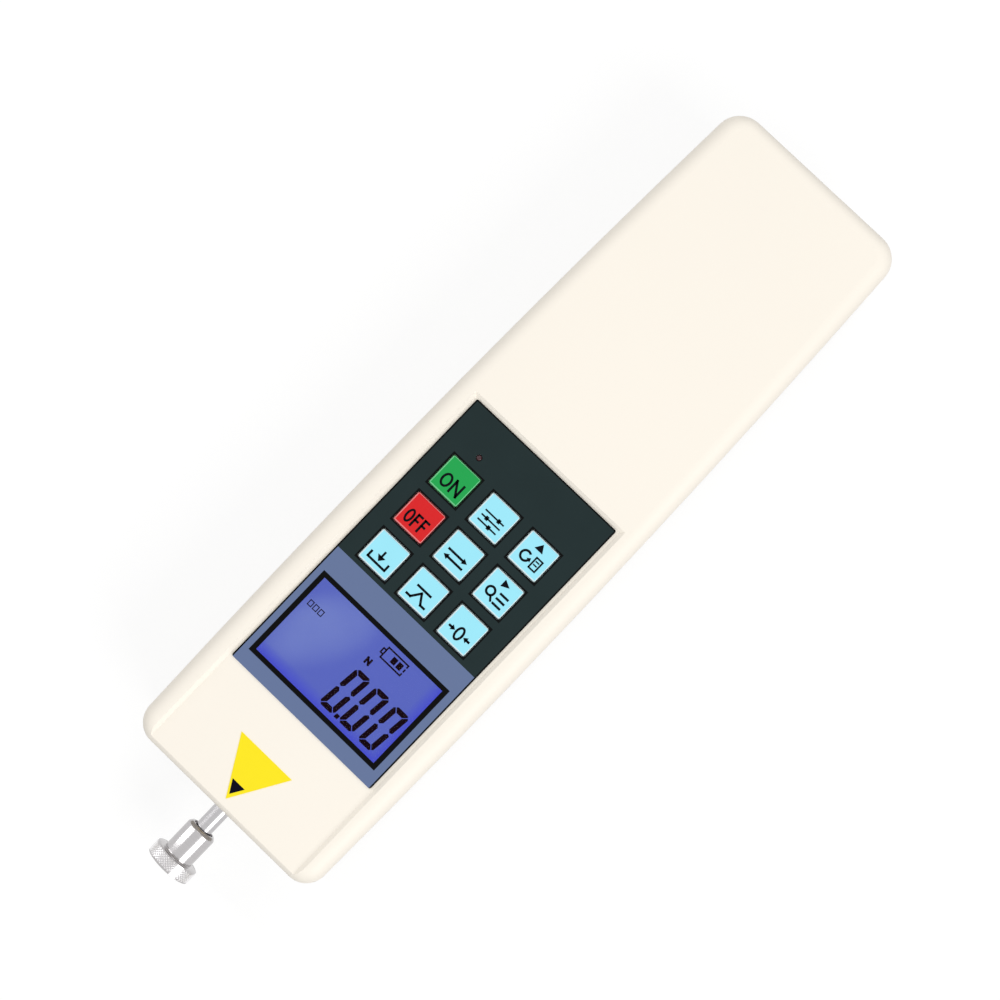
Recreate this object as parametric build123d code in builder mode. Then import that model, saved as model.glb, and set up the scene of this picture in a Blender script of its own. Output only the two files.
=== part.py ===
from build123d import *
import os

os.makedirs("parts", exist_ok=True)

# Handheld push-pull force gauge with a shaft at its nose, a nine-key pad and a lit display.
# All lengths are in millimetres. The gauge lies on its rear face: +Z comes out of the key side,
# the shaft leaves the nose along -Y, and the origin is the centre of the stand holes in the rear.

# Case
body_length = 230.0
body_thickness = 36.0
body_width = 66.0
nose_width = 64.0
tail_width = 59.5
widest_from_nose = 80.0
wall = 2.5
nose_corner = 6.6
tail_corner = 7.5
front_round = 4.5
rear_round = 3.0
tongue_height = 1.5
tongue_thickness = 1.1
tongue_gap = 0.1
seam_width = 0.3
seam_depth = 0.25

# Shallow channel in the front face, open at the nose
channel_land = 7.0
channel_depth = 1.0
channel_slope = 1.1
channel_end_gap = 0.15

# Printed overlay in the channel
overlay_gap_left = 0.6
overlay_gap_right = 0.85
overlay_length = 93.2
overlay_from_nose = 31.4
overlay_thickness = 0.4
overlay_corner = 0.6

# Middle line of the keys, display and sticker, a little left of the case's own
layout_x = -0.35

# Keys
key_size = 9.7
key_corner = 0.5
key_edge = 0.3
key_gap = 0.3
key_pitch_x = 14.3
key_pitch_y = 13.4
key_middle_from_nose = 91.4
key_flange_size = 11.7
key_flange_thickness = 0.6
key_travel = 0.3
key_proud = 0.6

# Tactile switch under each key
switch_size = 6.0
switch_height = 3.5
plunger_radius = 1.75
plunger_gap = 0.1
plunger_depth = 1.7

# Display
bezel_side = 2.375
bezel_height = 28.6
bezel_middle_from_nose = 49.9
bezel_edge_x = 1.45
bezel_edge_y = 1.35
bezel_lip = 0.3
window_thickness = 1.0
window_overlap = 0.7
glass_ledge = 2.1
glass_height = 33.0
glass_thickness = 2.4
glass_seam = 1.2
glass_gap = 0.3
glass_pin_radius = 0.25
glass_pin_pitch = 2.0
glass_pin_count = 20
backlight_thickness = 2.5
backlight_inset_x = 0.5
backlight_inset_y = 1.0

# Status lamp
lamp_x = 0.4
lamp_from_key_row = 8.8
lamp_tip_radius = 0.8
lamp_body_radius = 1.5
lamp_tip_length = 2.4
lamp_gap = 0.1

# Main circuit board
board_side_gap = 3.5
board_past_keys = 19.2
board_thickness = 1.6
board_corner = 2.0
board_hole_side = 5.0
board_hole_inset = 3.5
board_hole_radius = 1.4
standoff_radius = 2.6
pilot_spare = 0.4

# Parts soldered under the main board
chip_height = 1.4
processor_size = 12.0
processor_from_middle = 6.0
converter_width = 7.0
converter_length = 9.0
converter_x = -15.0
capacitor_radius = 2.4
capacitor_height = 2.2
capacitor_pitch = 7.0
capacitor_x = 14.0
buzzer_radius = 6.0
buzzer_height = 5.0
buzzer_x = -14.0
buzzer_from_end = 14.5
plug_row_width = 16.0
plug_row_length = 5.0
plug_row_height = 5.5
plug_row_x = 8.0
plug_row_from_end = 10.5

# Leads to the plug row
lead_radius = 0.9
lead_bend = 2.0
lead_side_gap = 1.6
lead_spread = 4.0
lead_end_setback = 7.0

# Screws: shank radius, head radius and head height of each size
small_shank = 1.2
small_head = 2.2
small_head_height = 1.7
small_length = 5.5
case_shank = 1.45
case_head = 2.9
case_head_height = 2.2
case_screw_length = 20.0
thread_gap = 0.05

# Screw bosses that join the two covers
boss_radius = 4.3
boss_side_gap = 0.7
boss_from_nose = 11.0
boss_past_board = 12.0
boss_from_tail = 11.0
web_thickness = 1.6
web_bite = 1.0
counterbore_depth = 8.0
counterbore_gap = 0.3

# Shaft, guide bush and head
shaft_z = 18.0
shaft_radius = 2.5
shaft_fit = 0.05
shoulder_from_nose = 10.4
thread_radius = 2.0
thread_length = 8.5
thread_chamfer = 0.4
hex_across = 8.0
hex_from_nose = 10.0
hex_length = 5.0
stud_radius = 3.0
bush_radius = 4.5
bush_length = 7.0
bush_flange_radius = 6.5
bush_flange_thickness = 1.5
saddle_width = 20.0
saddle_thickness = 2.0
neck_radius = 4.5
neck_length = 10.0
neck_chamfer = 0.7
mouth_radius = 3.2
mouth_depth = 0.9
disc_radius = 7.0
disc_thickness = 4.0
disc_chamfer = 0.4
knurl_count = 36
knurl_depth = 0.25
bore_spare = 1.0
nut_across = 10.0
nut_thickness = 5.0

# Load cell and what carries it
cell_from_nose = 25.0
cell_length = 50.0
cell_width = 40.0
cell_thickness = 12.7
cell_slot = 2.5
cell_slot_reach = 30.0
cell_beam = 17.5
cell_hole_radius = 6.0
cell_hole_pitch = 14.0
cell_corner = 1.0
cell_tap_depth = 12.0
gauge_length = 7.0
gauge_width = 4.0
gauge_thickness = 0.2
chassis_width = 40.0
chassis_length = 104.0
chassis_from_nose = 18.0
chassis_thickness = 4.0
chassis_corner = 3.0
bracket_width = 36.0
bracket_wall = 8.0
bracket_foot_length = 20.0
bracket_foot_thickness = 5.0
bracket_fillet = 1.2
bolt_head_radius = 5.0
bolt_head_height = 6.0
bolt_socket_across = 5.0
bolt_reach = 10.0

# Holes for a test stand, in the rear
stand_from_nose = 80.0
stand_pitch_x = 30.0
stand_pitch_y = 50.0
stand_tap_radius = 1.65
insert_radius = 3.5
insert_gap = 0.1
chassis_screw_x = 13.0
chassis_screw_inset = 8.0
chassis_screw_shank = 1.5
chassis_screw_head = 3.0
chassis_screw_sink = 1.5
bracket_screw_x = 11.0
bracket_screw_shank = 2.0
bracket_screw_head = 3.5
bracket_screw_head_height = 2.4

# Battery pack: two layers of three cells in a sleeve
battery_cell_radius = 7.1
battery_cell_pitch = 14.4
battery_button_radius = 2.7
battery_button_height = 1.0
sleeve_thickness = 0.3
sleeve_gap = 0.1
tray_height = 10.0
tray_wall = 2.0
tray_gap = 0.3
tray_past_boss = 7.4
tray_to_socket_board = 2.7

# Sockets in the tail
socket_board_width = 35.0
socket_board_length = 20.0
socket_board_thickness = 1.6
socket_board_gap = 2.5
socket_post_radius = 2.6
socket_post_x = 14.5
socket_post_from_edge = 15.0
data_x = -8.0
data_body_width = 14.0
data_body_length = 13.0
data_nose_radius = 5.5
data_well_radius = 4.5
data_core_radius = 3.5
data_key_width = 1.6
data_key_depth = 1.0
data_pin_ring = 2.2
data_pin_count = 6
data_pin_radius = 0.4
charge_x = 9.0
charge_body_width = 9.5
charge_body_length = 13.0
charge_nose_radius = 4.2
charge_bore_radius = 3.0
charge_pin_radius = 1.0
socket_body_height = 11.5
socket_well_depth = 8.0
socket_gap = 0.2
socket_set_back = 0.4

# Pointer sticker by the nose
sticker_width = 18.3
sticker_height = 15.4
sticker_from_nose = 3.5
sticker_thickness = 0.15

# Planes and stations worked out from the sizes above
nose_y = -stand_from_nose
tail_y = nose_y + body_length
front_inside = body_thickness - wall
split_z = shaft_z
channel_floor = body_thickness - channel_depth
overlay_top = channel_floor + overlay_thickness
key_top = overlay_top + key_proud
flange_top = front_inside - key_gap
flange_bottom = flange_top - key_flange_thickness
glass_top = front_inside
glass_bottom = glass_top - glass_thickness
board_top = glass_bottom - backlight_thickness
board_bottom = board_top - board_thickness
switch_top = board_top + switch_height
channel_width = body_width - 2 * channel_land
overlay_width = channel_width - overlay_gap_left - overlay_gap_right
overlay_x = (overlay_gap_left - overlay_gap_right) / 2
overlay_middle_y = nose_y + overlay_from_nose + overlay_length / 2
key_middle_y = nose_y + key_middle_from_nose
bezel_width = overlay_width - 2 * bezel_side
bezel_middle_y = nose_y + bezel_middle_from_nose
glass_width = bezel_width + 2 * glass_ledge
board_width = body_width - 2 * (wall + board_side_gap)
board_near_y = bezel_middle_y - glass_height / 2 - glass_gap - standoff_radius - board_hole_inset
board_far_y = key_middle_y + key_pitch_y + board_past_keys
board_length = board_far_y - board_near_y
board_middle_y = (board_near_y + board_far_y) / 2
board_hole_x = board_width / 2 - board_hole_side
plug_row_y = board_far_y - plug_row_from_end
chassis_top = wall + chassis_thickness
chassis_middle_y = nose_y + chassis_from_nose + chassis_length / 2
cell_middle_y = nose_y + cell_from_nose + cell_length / 2
cell_far_y = nose_y + cell_from_nose + cell_length
bracket_far_y = cell_far_y + bracket_wall
chassis_screw_pitch = chassis_length - 2 * chassis_screw_inset
sleeve_width = 2 * (battery_cell_pitch + battery_cell_radius + sleeve_gap + sleeve_thickness)
sleeve_height = battery_cell_pitch + 2 * (battery_cell_radius + sleeve_gap + sleeve_thickness)
socket_board_top = shaft_z - socket_body_height / 2
socket_board_bottom = socket_board_top - socket_board_thickness
socket_board_far_y = tail_y - wall - socket_board_gap
socket_board_near_y = socket_board_far_y - socket_board_length
socket_post_y = socket_board_far_y - socket_post_from_edge
boss_points = [
    (side * (width / 2 - wall - boss_radius - boss_side_gap), boss_y)
    for width, boss_y in (
        (nose_width, nose_y + boss_from_nose),
        (body_width, board_far_y + boss_past_board),
        (tail_width, tail_y - boss_from_tail),
    )
    for side in (-1, 1)
]
tray_near_y = board_far_y + boss_past_board + boss_radius + tray_past_boss
tray_far_y = socket_board_near_y - tray_to_socket_board
tray_width = sleeve_width + 2 * tray_gap
tray_length = tray_far_y - tray_near_y - 2 * tray_wall
battery_length = tray_length - 2 * tray_gap
battery_middle_y = (tray_near_y + tray_far_y) / 2
board_hole_points = [
    (side * board_hole_x, board_middle_y + end * (board_length / 2 - board_hole_inset))
    for end in (-1, 1)
    for side in (-1, 1)
]
key_names = [
    ["key_store", "key_peak", "key_zero"],
    ["key_off", "key_unit", "key_right"],
    ["key_on", "key_set", "key_up"],
]
key_points = {
    key_names[row][column]: (
        layout_x + (column - 1) * key_pitch_x,
        key_middle_y + (row - 1) * key_pitch_y,
    )
    for row in range(3)
    for column in range(3)
}
lamp_point = (key_points["key_on"][0] + lamp_x, key_points["key_on"][1] + lamp_from_key_row)


def save(solid, name):
    """Label one piece and write it to its own file."""
    solid.label = name
    export_step(solid, f"parts/{name}.step")


def case_outline(inset):
    """Plan of the case: bowed sides that draw in to the tail, at a distance inside the outer line."""
    half_nose, half_body, half_tail = nose_width / 2, body_width / 2, tail_width / 2
    widest_y = nose_y + widest_from_nose
    with BuildSketch() as outline:
        with BuildLine():
            Line((-half_nose, nose_y), (half_nose, nose_y))
            ThreePointArc((half_nose, nose_y), (half_body, widest_y), (half_tail, tail_y))
            Line((half_tail, tail_y), (-half_tail, tail_y))
            ThreePointArc((-half_tail, tail_y), (-half_body, widest_y), (-half_nose, nose_y))
        make_face()
        fillet(outline.vertices().group_by(Axis.Y)[0], nose_corner)
        fillet(outline.vertices().group_by(Axis.Y)[-1], tail_corner)
        if inset > 0:
            offset(amount=-inset, mode=Mode.REPLACE)
    return outline.sketch


def along_y(y):
    """Plane whose normal runs from the nose to the tail, on the shaft's axis; its y points up."""
    return Plane(origin=(0, y, shaft_z), x_dir=(-1, 0, 0), z_dir=(0, 1, 0))


def pan_screw(shank_radius, shank_length, head_radius, head_height):
    """Cross-recessed screw with its head above z = 0 and its shank below."""
    with BuildPart() as screw:
        Cylinder(head_radius, head_height, align=(Align.CENTER, Align.CENTER, Align.MIN))
        fillet(screw.edges().group_by(Axis.Z)[-1], head_height * 0.4)
        Cylinder(shank_radius, shank_length, align=(Align.CENTER, Align.CENTER, Align.MAX))
        chamfer(screw.edges().group_by(Axis.Z)[0], shank_radius * 0.4)
        with Locations((0, 0, head_height)):
            for turn in (0, 90):
                Box(
                    head_radius * 1.1,
                    head_radius * 0.28,
                    head_height,
                    rotation=(0, 0, turn),
                    mode=Mode.SUBTRACT,
                )
    return screw.part


# Outer form of the closed case, with the sloped-wall channel in its front face
with BuildPart() as case_form:
    with BuildSketch():
        add(case_outline(0))
    extrude(amount=body_thickness)
    fillet(case_form.faces().sort_by(Axis.Z)[-1].edges(), front_round)
    fillet(case_form.faces().sort_by(Axis.Z)[0].edges(), rear_round)
    channel_end_y = nose_y + overlay_from_nose + overlay_length + channel_end_gap
    channel_run = channel_end_y - nose_y
    with BuildSketch(Plane.XY.offset(channel_floor)):
        with Locations((0, channel_end_y)):
            Rectangle(channel_width, 2 * channel_run, align=(Align.CENTER, Align.MAX))
    with BuildSketch(Plane.XY.offset(body_thickness)):
        with Locations((0, channel_end_y + channel_slope)):
            Rectangle(
                channel_width + 2 * channel_slope,
                2 * channel_run + channel_slope,
                align=(Align.CENTER, Align.MAX),
            )
    loft(ruled=True, mode=Mode.SUBTRACT)
    with BuildSketch(Plane.XY.offset(split_z - seam_width / 2)):
        with Locations((0, nose_y + body_length / 2)):
            Rectangle(2 * body_width, 2 * body_length)
        add(case_outline(seam_depth), mode=Mode.SUBTRACT)
    extrude(amount=seam_width, mode=Mode.SUBTRACT)

# Space inside the closed case
with BuildPart() as case_space:
    with BuildSketch(Plane.XY.offset(wall)):
        add(case_outline(wall))
    extrude(amount=body_thickness - 2 * wall)
    fillet(case_space.faces().sort_by(Axis.Z)[-1].edges(), max(front_round - wall, 0.3))
    fillet(case_space.faces().sort_by(Axis.Z)[0].edges(), max(rear_round - wall, 0.3))

# Plan of the webs that tie each screw boss to the side wall
with BuildSketch() as boss_webs:
    for boss_x, boss_y in boss_points:
        with Locations((boss_x, boss_y)):
            Rectangle(
                boss_radius + boss_side_gap + web_bite,
                web_thickness,
                align=(Align.MIN if boss_x > 0 else Align.MAX, Align.CENTER),
            )

# Front cover: half shell with key holes, display opening, board standoffs and blind screw bosses
with BuildPart() as front_cover:
    add(case_form.part)
    split(bisect_by=Plane.XY.offset(split_z), keep=Keep.TOP)
    add(case_space.part, mode=Mode.SUBTRACT)
    with BuildSketch(Plane.XY.offset(split_z)):
        add(case_outline(wall - tongue_thickness))
        add(case_outline(wall), mode=Mode.SUBTRACT)
    extrude(amount=-tongue_height)
    with BuildSketch(Plane.XY.offset(split_z)):
        add(boss_webs.sketch)
        with Locations(*boss_points):
            Circle(boss_radius)
    extrude(amount=front_inside - split_z)
    with BuildSketch(Plane.XY.offset(split_z)):
        with Locations(*boss_points):
            Circle(case_shank + thread_gap)
    pilot_depth = case_screw_length - split_z + counterbore_depth + bore_spare
    extrude(amount=pilot_depth, mode=Mode.SUBTRACT)
    with BuildSketch(Plane.XY.offset(board_top)):
        with Locations(*board_hole_points):
            Circle(standoff_radius)
    extrude(amount=front_inside - board_top)
    with BuildSketch(Plane.XY.offset(board_top)):
        with Locations(*board_hole_points):
            Circle(small_shank + thread_gap)
    extrude(amount=small_length - board_thickness + pilot_spare, mode=Mode.SUBTRACT)
    with BuildSketch(Plane.XY.offset(front_inside)):
        with Locations(*key_points.values()):
            RectangleRounded(key_size + 2 * key_gap, key_size + 2 * key_gap, key_corner + key_gap)
        with Locations((layout_x, bezel_middle_y)):
            Rectangle(bezel_width, bezel_height)
        with Locations(lamp_point):
            Circle(lamp_tip_radius + lamp_gap)
    extrude(amount=wall, mode=Mode.SUBTRACT)
    with BuildSketch(along_y(nose_y + wall + bush_flange_thickness)):
        Rectangle(saddle_width, front_inside - shaft_z, align=(Align.CENTER, Align.MIN))
    extrude(amount=saddle_thickness)
    with BuildSketch(along_y(nose_y)):
        Circle(bush_radius + shaft_fit)
    extrude(amount=bush_length, mode=Mode.SUBTRACT)
    with BuildSketch(along_y(tail_y - wall)):
        with Locations((-data_x, 0)):
            Circle(data_nose_radius + socket_gap)
        with Locations((-charge_x, 0)):
            Circle(charge_nose_radius + socket_gap)
    extrude(amount=wall, mode=Mode.SUBTRACT)

# Rear cover: half shell with counterbored screw posts, stand holes, battery tray and board posts
with BuildPart() as rear_cover:
    add(case_form.part)
    split(bisect_by=Plane.XY.offset(split_z), keep=Keep.BOTTOM)
    add(case_space.part, mode=Mode.SUBTRACT)
    with BuildSketch(Plane.XY.offset(wall)):
        add(boss_webs.sketch)
        with Locations(*boss_points):
            Circle(boss_radius)
    extrude(amount=split_z - wall)
    with BuildSketch(Plane.XY.offset(split_z)):
        add(case_outline(wall - tongue_thickness - tongue_gap))
        add(case_outline(wall + tongue_gap), mode=Mode.SUBTRACT)
    extrude(amount=-tongue_height - tongue_gap, mode=Mode.SUBTRACT)
    with BuildSketch():
        with Locations(*boss_points):
            Circle(case_shank + 2 * thread_gap)
    extrude(amount=split_z, mode=Mode.SUBTRACT)
    with BuildSketch():
        with Locations(*boss_points):
            Circle(case_head + counterbore_gap)
    extrude(amount=counterbore_depth, mode=Mode.SUBTRACT)
    with BuildSketch(along_y(nose_y + wall + bush_flange_thickness)):
        Rectangle(saddle_width, shaft_z - wall, align=(Align.CENTER, Align.MAX))
    extrude(amount=saddle_thickness)
    with BuildSketch(along_y(nose_y)):
        Circle(bush_radius + shaft_fit)
    extrude(amount=bush_length, mode=Mode.SUBTRACT)
    with BuildSketch(Plane.XY.offset(wall)):
        with Locations((0, battery_middle_y)):
            Rectangle(tray_width + 2 * tray_wall, tray_length + 2 * tray_wall)
            Rectangle(tray_width, tray_length, mode=Mode.SUBTRACT)
    extrude(amount=tray_height)
    with BuildSketch(Plane.XY.offset(wall)):
        with Locations((-socket_post_x, socket_post_y), (socket_post_x, socket_post_y)):
            Circle(socket_post_radius)
    extrude(amount=socket_board_bottom - wall)
    with BuildSketch(Plane.XY.offset(socket_board_bottom)):
        with Locations((-socket_post_x, socket_post_y), (socket_post_x, socket_post_y)):
            Circle(small_shank + thread_gap)
    extrude(amount=-small_length, mode=Mode.SUBTRACT)
    with BuildSketch(along_y(tail_y - wall)):
        with Locations((-data_x, 0)):
            Circle(data_nose_radius + socket_gap)
        with Locations((-charge_x, 0)):
            Circle(charge_nose_radius + socket_gap)
    extrude(amount=wall, mode=Mode.SUBTRACT)
    with Locations(Plane(origin=(0, 0, 0), x_dir=(1, 0, 0), z_dir=(0, 0, -1))):
        with GridLocations(stand_pitch_x, stand_pitch_y, 2, 2):
            Hole(insert_radius + insert_gap, depth=wall)
    with Locations(Plane(origin=(0, chassis_middle_y, 0), x_dir=(1, 0, 0), z_dir=(0, 0, -1))):
        with GridLocations(2 * chassis_screw_x, chassis_screw_pitch, 2, 2):
            CounterSinkHole(
                chassis_screw_shank + thread_gap,
                chassis_screw_head + thread_gap,
                depth=wall,
                counter_sink_angle=90,
            )

save(front_cover.part, "front_cover")
save(rear_cover.part, "rear_cover")

# Printed overlay with holes for the keys, the display and the lamp
with BuildPart() as front_overlay:
    with BuildSketch(Plane.XY.offset(channel_floor)):
        with Locations((overlay_x, overlay_middle_y)):
            RectangleRounded(overlay_width, overlay_length, overlay_corner)
        with Locations(*key_points.values()):
            RectangleRounded(
                key_size + 2 * key_gap, key_size + 2 * key_gap, key_corner + key_gap, mode=Mode.SUBTRACT
            )
        with Locations((layout_x, bezel_middle_y)):
            Rectangle(bezel_width, bezel_height, mode=Mode.SUBTRACT)
        with Locations(lamp_point):
            Circle(lamp_tip_radius + lamp_gap, mode=Mode.SUBTRACT)
    extrude(amount=overlay_thickness)
save(front_overlay.part, "front_overlay")

# Key caps, each with a flange that keeps it behind the cover
for name, (key_x, key_y) in key_points.items():
    with BuildPart() as key_cap:
        with BuildSketch(Plane.XY.offset(flange_bottom)):
            with Locations((key_x, key_y)):
                RectangleRounded(key_flange_size, key_flange_size, key_corner)
        extrude(amount=key_flange_thickness)
        with BuildSketch(Plane.XY.offset(flange_top)):
            with Locations((key_x, key_y)):
                RectangleRounded(key_size, key_size, key_corner)
        extrude(amount=key_top - flange_top)
        chamfer(key_cap.edges().group_by(Axis.Z)[-1], key_edge)
    save(key_cap.part, name)
    with BuildPart() as plunger:
        with Locations((key_x, key_y, flange_bottom)):
            Cylinder(
                plunger_radius,
                flange_bottom - switch_top + plunger_depth - key_travel,
                align=(Align.CENTER, Align.CENTER, Align.MAX),
            )
    save(plunger.part, name + "_plunger")

# Switch housings on the board, one under each key
with BuildPart() as key_switches:
    with BuildSketch(Plane.XY.offset(board_top)):
        with Locations(*key_points.values()):
            RectangleRounded(switch_size, switch_size, key_corner)
    extrude(amount=switch_height)
    with BuildSketch(Plane.XY.offset(switch_top)):
        with Locations(*key_points.values()):
            Circle(plunger_radius + plunger_gap)
    extrude(amount=-plunger_depth - key_travel, mode=Mode.SUBTRACT)
save(key_switches.part, "key_switches")

# Display: black bezel in the cover, clear window behind its lip, glass cell and backlight
with BuildPart() as display_bezel:
    window_width = bezel_width - 2 * bezel_edge_x + 2 * window_overlap
    window_height = bezel_height - 2 * bezel_edge_y + 2 * window_overlap
    with BuildSketch(Plane.XY.offset(front_inside)):
        with Locations((layout_x, bezel_middle_y)):
            Rectangle(bezel_width, bezel_height)
            Rectangle(window_width, window_height, mode=Mode.SUBTRACT)
    extrude(amount=overlay_top - front_inside)
    with BuildSketch(Plane.XY.offset(overlay_top - bezel_lip)):
        with Locations((layout_x, bezel_middle_y)):
            Rectangle(bezel_width, bezel_height)
            Rectangle(
                bezel_width - 2 * bezel_edge_x, bezel_height - 2 * bezel_edge_y, mode=Mode.SUBTRACT
            )
    extrude(amount=bezel_lip)
save(display_bezel.part, "display_bezel")

with BuildPart() as display_window:
    with BuildSketch(Plane.XY.offset(overlay_top - bezel_lip - window_thickness)):
        with Locations((layout_x, bezel_middle_y)):
            Rectangle(window_width, window_height)
    extrude(amount=window_thickness)
save(display_window.part, "display_window")

with BuildPart() as display_glass:
    with BuildSketch(Plane.XY.offset(glass_bottom)):
        with Locations((layout_x, bezel_middle_y)):
            Rectangle(glass_width, glass_height)
    extrude(amount=glass_thickness)
    with BuildSketch(Plane.XY.offset(glass_bottom)):
        with Locations((layout_x, bezel_middle_y + glass_height / 2)):
            Rectangle(glass_width, 2 * glass_seam)
    extrude(amount=glass_thickness / 2, mode=Mode.SUBTRACT)
save(display_glass.part, "display_glass")

with BuildPart() as display_backlight:
    with BuildSketch(Plane.XY.offset(board_top)):
        with Locations((layout_x, bezel_middle_y)):
            RectangleRounded(
                glass_width - 2 * backlight_inset_x, glass_height - 2 * backlight_inset_y, key_corner
            )
    extrude(amount=backlight_thickness)
save(display_backlight.part, "display_backlight")

# Contact pins from the board to the ledge of the display glass
with BuildPart() as display_pins:
    with BuildSketch(Plane.XY.offset(board_top)):
        with Locations((layout_x, bezel_middle_y + (glass_height - glass_seam) / 2)):
            with GridLocations(glass_pin_pitch, 0, glass_pin_count, 1):
                Circle(glass_pin_radius)
    extrude(amount=backlight_thickness + glass_thickness / 2)
save(display_pins.part, "display_pins")

# Main board, screwed to the front cover's standoffs
with BuildPart() as main_board:
    with BuildSketch(Plane.XY.offset(board_bottom)):
        with Locations((0, board_middle_y)):
            RectangleRounded(board_width, board_length, board_corner)
        with Locations(*board_hole_points):
            Circle(board_hole_radius, mode=Mode.SUBTRACT)
    extrude(amount=board_thickness)
save(main_board.part, "main_board")

small_screw = pan_screw(small_shank, small_length, small_head, small_head_height)
with BuildPart() as board_screws:
    for hole_x, hole_y in board_hole_points:
        seat = Plane(origin=(hole_x, hole_y, board_bottom), x_dir=(1, 0, 0), z_dir=(0, 0, -1))
        add(seat.location * small_screw)
save(board_screws.part, "board_screws")

# Parts soldered under the board: processor, converter, two capacitors, buzzer and a plug row
with BuildPart() as board_components:
    processor_y = board_middle_y - processor_from_middle
    with BuildSketch(Plane.XY.offset(board_bottom)):
        with Locations((0, processor_y)):
            Rectangle(processor_size, processor_size)
        with Locations((converter_x, processor_y)):
            Rectangle(converter_width, converter_length)
    extrude(amount=-chip_height)
    with BuildSketch(Plane.XY.offset(board_bottom)):
        with Locations((capacitor_x, processor_y)):
            with GridLocations(0, capacitor_pitch, 1, 2):
                Circle(capacitor_radius)
    extrude(amount=-capacitor_height)
    with BuildSketch(Plane.XY.offset(board_bottom)):
        with Locations((buzzer_x, board_far_y - buzzer_from_end)):
            Circle(buzzer_radius)
    extrude(amount=-buzzer_height)
    with BuildSketch(Plane.XY.offset(board_bottom)):
        with Locations((plug_row_x, plug_row_y)):
            Rectangle(plug_row_width, plug_row_length)
    extrude(amount=-plug_row_height)
save(board_components.part, "board_components")

# Status lamp: a small light-emitting diode that stands on the board and shows through the overlay
with BuildPart() as status_lamp:
    with Locations((lamp_point[0], lamp_point[1], board_top)):
        Cylinder(
            lamp_body_radius,
            overlay_top - lamp_tip_length - board_top,
            align=(Align.CENTER, Align.CENTER, Align.MIN),
        )
    with Locations((lamp_point[0], lamp_point[1], overlay_top)):
        Cylinder(lamp_tip_radius, lamp_tip_length, align=(Align.CENTER, Align.CENTER, Align.MAX))
    fillet(status_lamp.edges().group_by(Axis.Z)[-1], lamp_tip_radius * 0.6)
save(status_lamp.part, "status_lamp")

# Screws that hold the covers together, driven from the rear
case_screw = pan_screw(case_shank, case_screw_length, case_head, case_head_height)
with BuildPart() as case_screws:
    for boss_x, boss_y in boss_points:
        seat = Plane(origin=(boss_x, boss_y, counterbore_depth), x_dir=(1, 0, 0), z_dir=(0, 0, -1))
        add(seat.location * case_screw)
save(case_screws.part, "case_screws")

# Chassis plate on the rear cover's floor, which takes the load from the cell to the stand
with BuildPart() as chassis_plate:
    with BuildSketch(Plane.XY.offset(wall)):
        with Locations((0, chassis_middle_y)):
            RectangleRounded(chassis_width, chassis_length, chassis_corner)
            with GridLocations(2 * chassis_screw_x, chassis_screw_pitch, 2, 2):
                Circle(chassis_screw_shank + thread_gap, mode=Mode.SUBTRACT)
        with GridLocations(stand_pitch_x, stand_pitch_y, 2, 2):
            Circle(insert_radius, mode=Mode.SUBTRACT)
        with Locations((0, bracket_far_y + bracket_foot_length / 2)):
            with GridLocations(2 * bracket_screw_x, 0, 2, 1):
                Circle(bracket_screw_shank + thread_gap, mode=Mode.SUBTRACT)
    extrude(amount=chassis_thickness)
save(chassis_plate.part, "chassis_plate")

# Threaded bushes for the stand screws, flush with the rear face
with BuildPart() as stand_inserts:
    with BuildSketch():
        with GridLocations(stand_pitch_x, stand_pitch_y, 2, 2):
            Circle(insert_radius)
            Circle(stand_tap_radius, mode=Mode.SUBTRACT)
    extrude(amount=chassis_top)
save(stand_inserts.part, "stand_inserts")

# Countersunk screws from the rear into the chassis plate
with BuildPart() as chassis_screws:
    with Locations((0, chassis_middle_y)):
        with GridLocations(2 * chassis_screw_x, chassis_screw_pitch, 2, 2):
            Cone(
                chassis_screw_head,
                chassis_screw_shank,
                chassis_screw_sink,
                align=(Align.CENTER, Align.CENTER, Align.MIN),
            )
            Cylinder(chassis_screw_shank, chassis_top, align=(Align.CENTER, Align.CENTER, Align.MIN))
            for turn in (0, 90):
                Box(
                    chassis_screw_head,
                    chassis_screw_head * 0.25,
                    chassis_screw_sink,
                    rotation=(0, 0, turn),
                    mode=Mode.SUBTRACT,
                )
save(chassis_screws.part, "chassis_screws")

# S-shaped load cell: two slots from opposite sides leave a sensing beam across the middle
with BuildPart() as load_cell:
    with BuildSketch(Plane.XY.offset(shaft_z - cell_thickness / 2)):
        with Locations((0, cell_middle_y)):
            RectangleRounded(cell_width, cell_length, cell_corner)
            with GridLocations(cell_hole_pitch, 0, 2, 1):
                Circle(cell_hole_radius, mode=Mode.SUBTRACT)
            Rectangle(cell_hole_pitch, cell_slot, mode=Mode.SUBTRACT)
        for side, slot_align in ((-1, Align.MIN), (1, Align.MAX)):
            with Locations((side * cell_width / 2, cell_middle_y - side * (cell_beam + cell_slot) / 2)):
                Rectangle(
                    cell_slot_reach, cell_slot, align=(slot_align, Align.CENTER), mode=Mode.SUBTRACT
                )
    extrude(amount=cell_thickness)
    with BuildSketch(along_y(nose_y + cell_from_nose)):
        Circle(stud_radius + 2 * thread_gap)
    extrude(amount=cell_tap_depth, mode=Mode.SUBTRACT)
    with BuildSketch(along_y(cell_far_y)):
        Circle(stud_radius + thread_gap)
    extrude(amount=-cell_tap_depth, mode=Mode.SUBTRACT)
save(load_cell.part, "load_cell")

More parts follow.
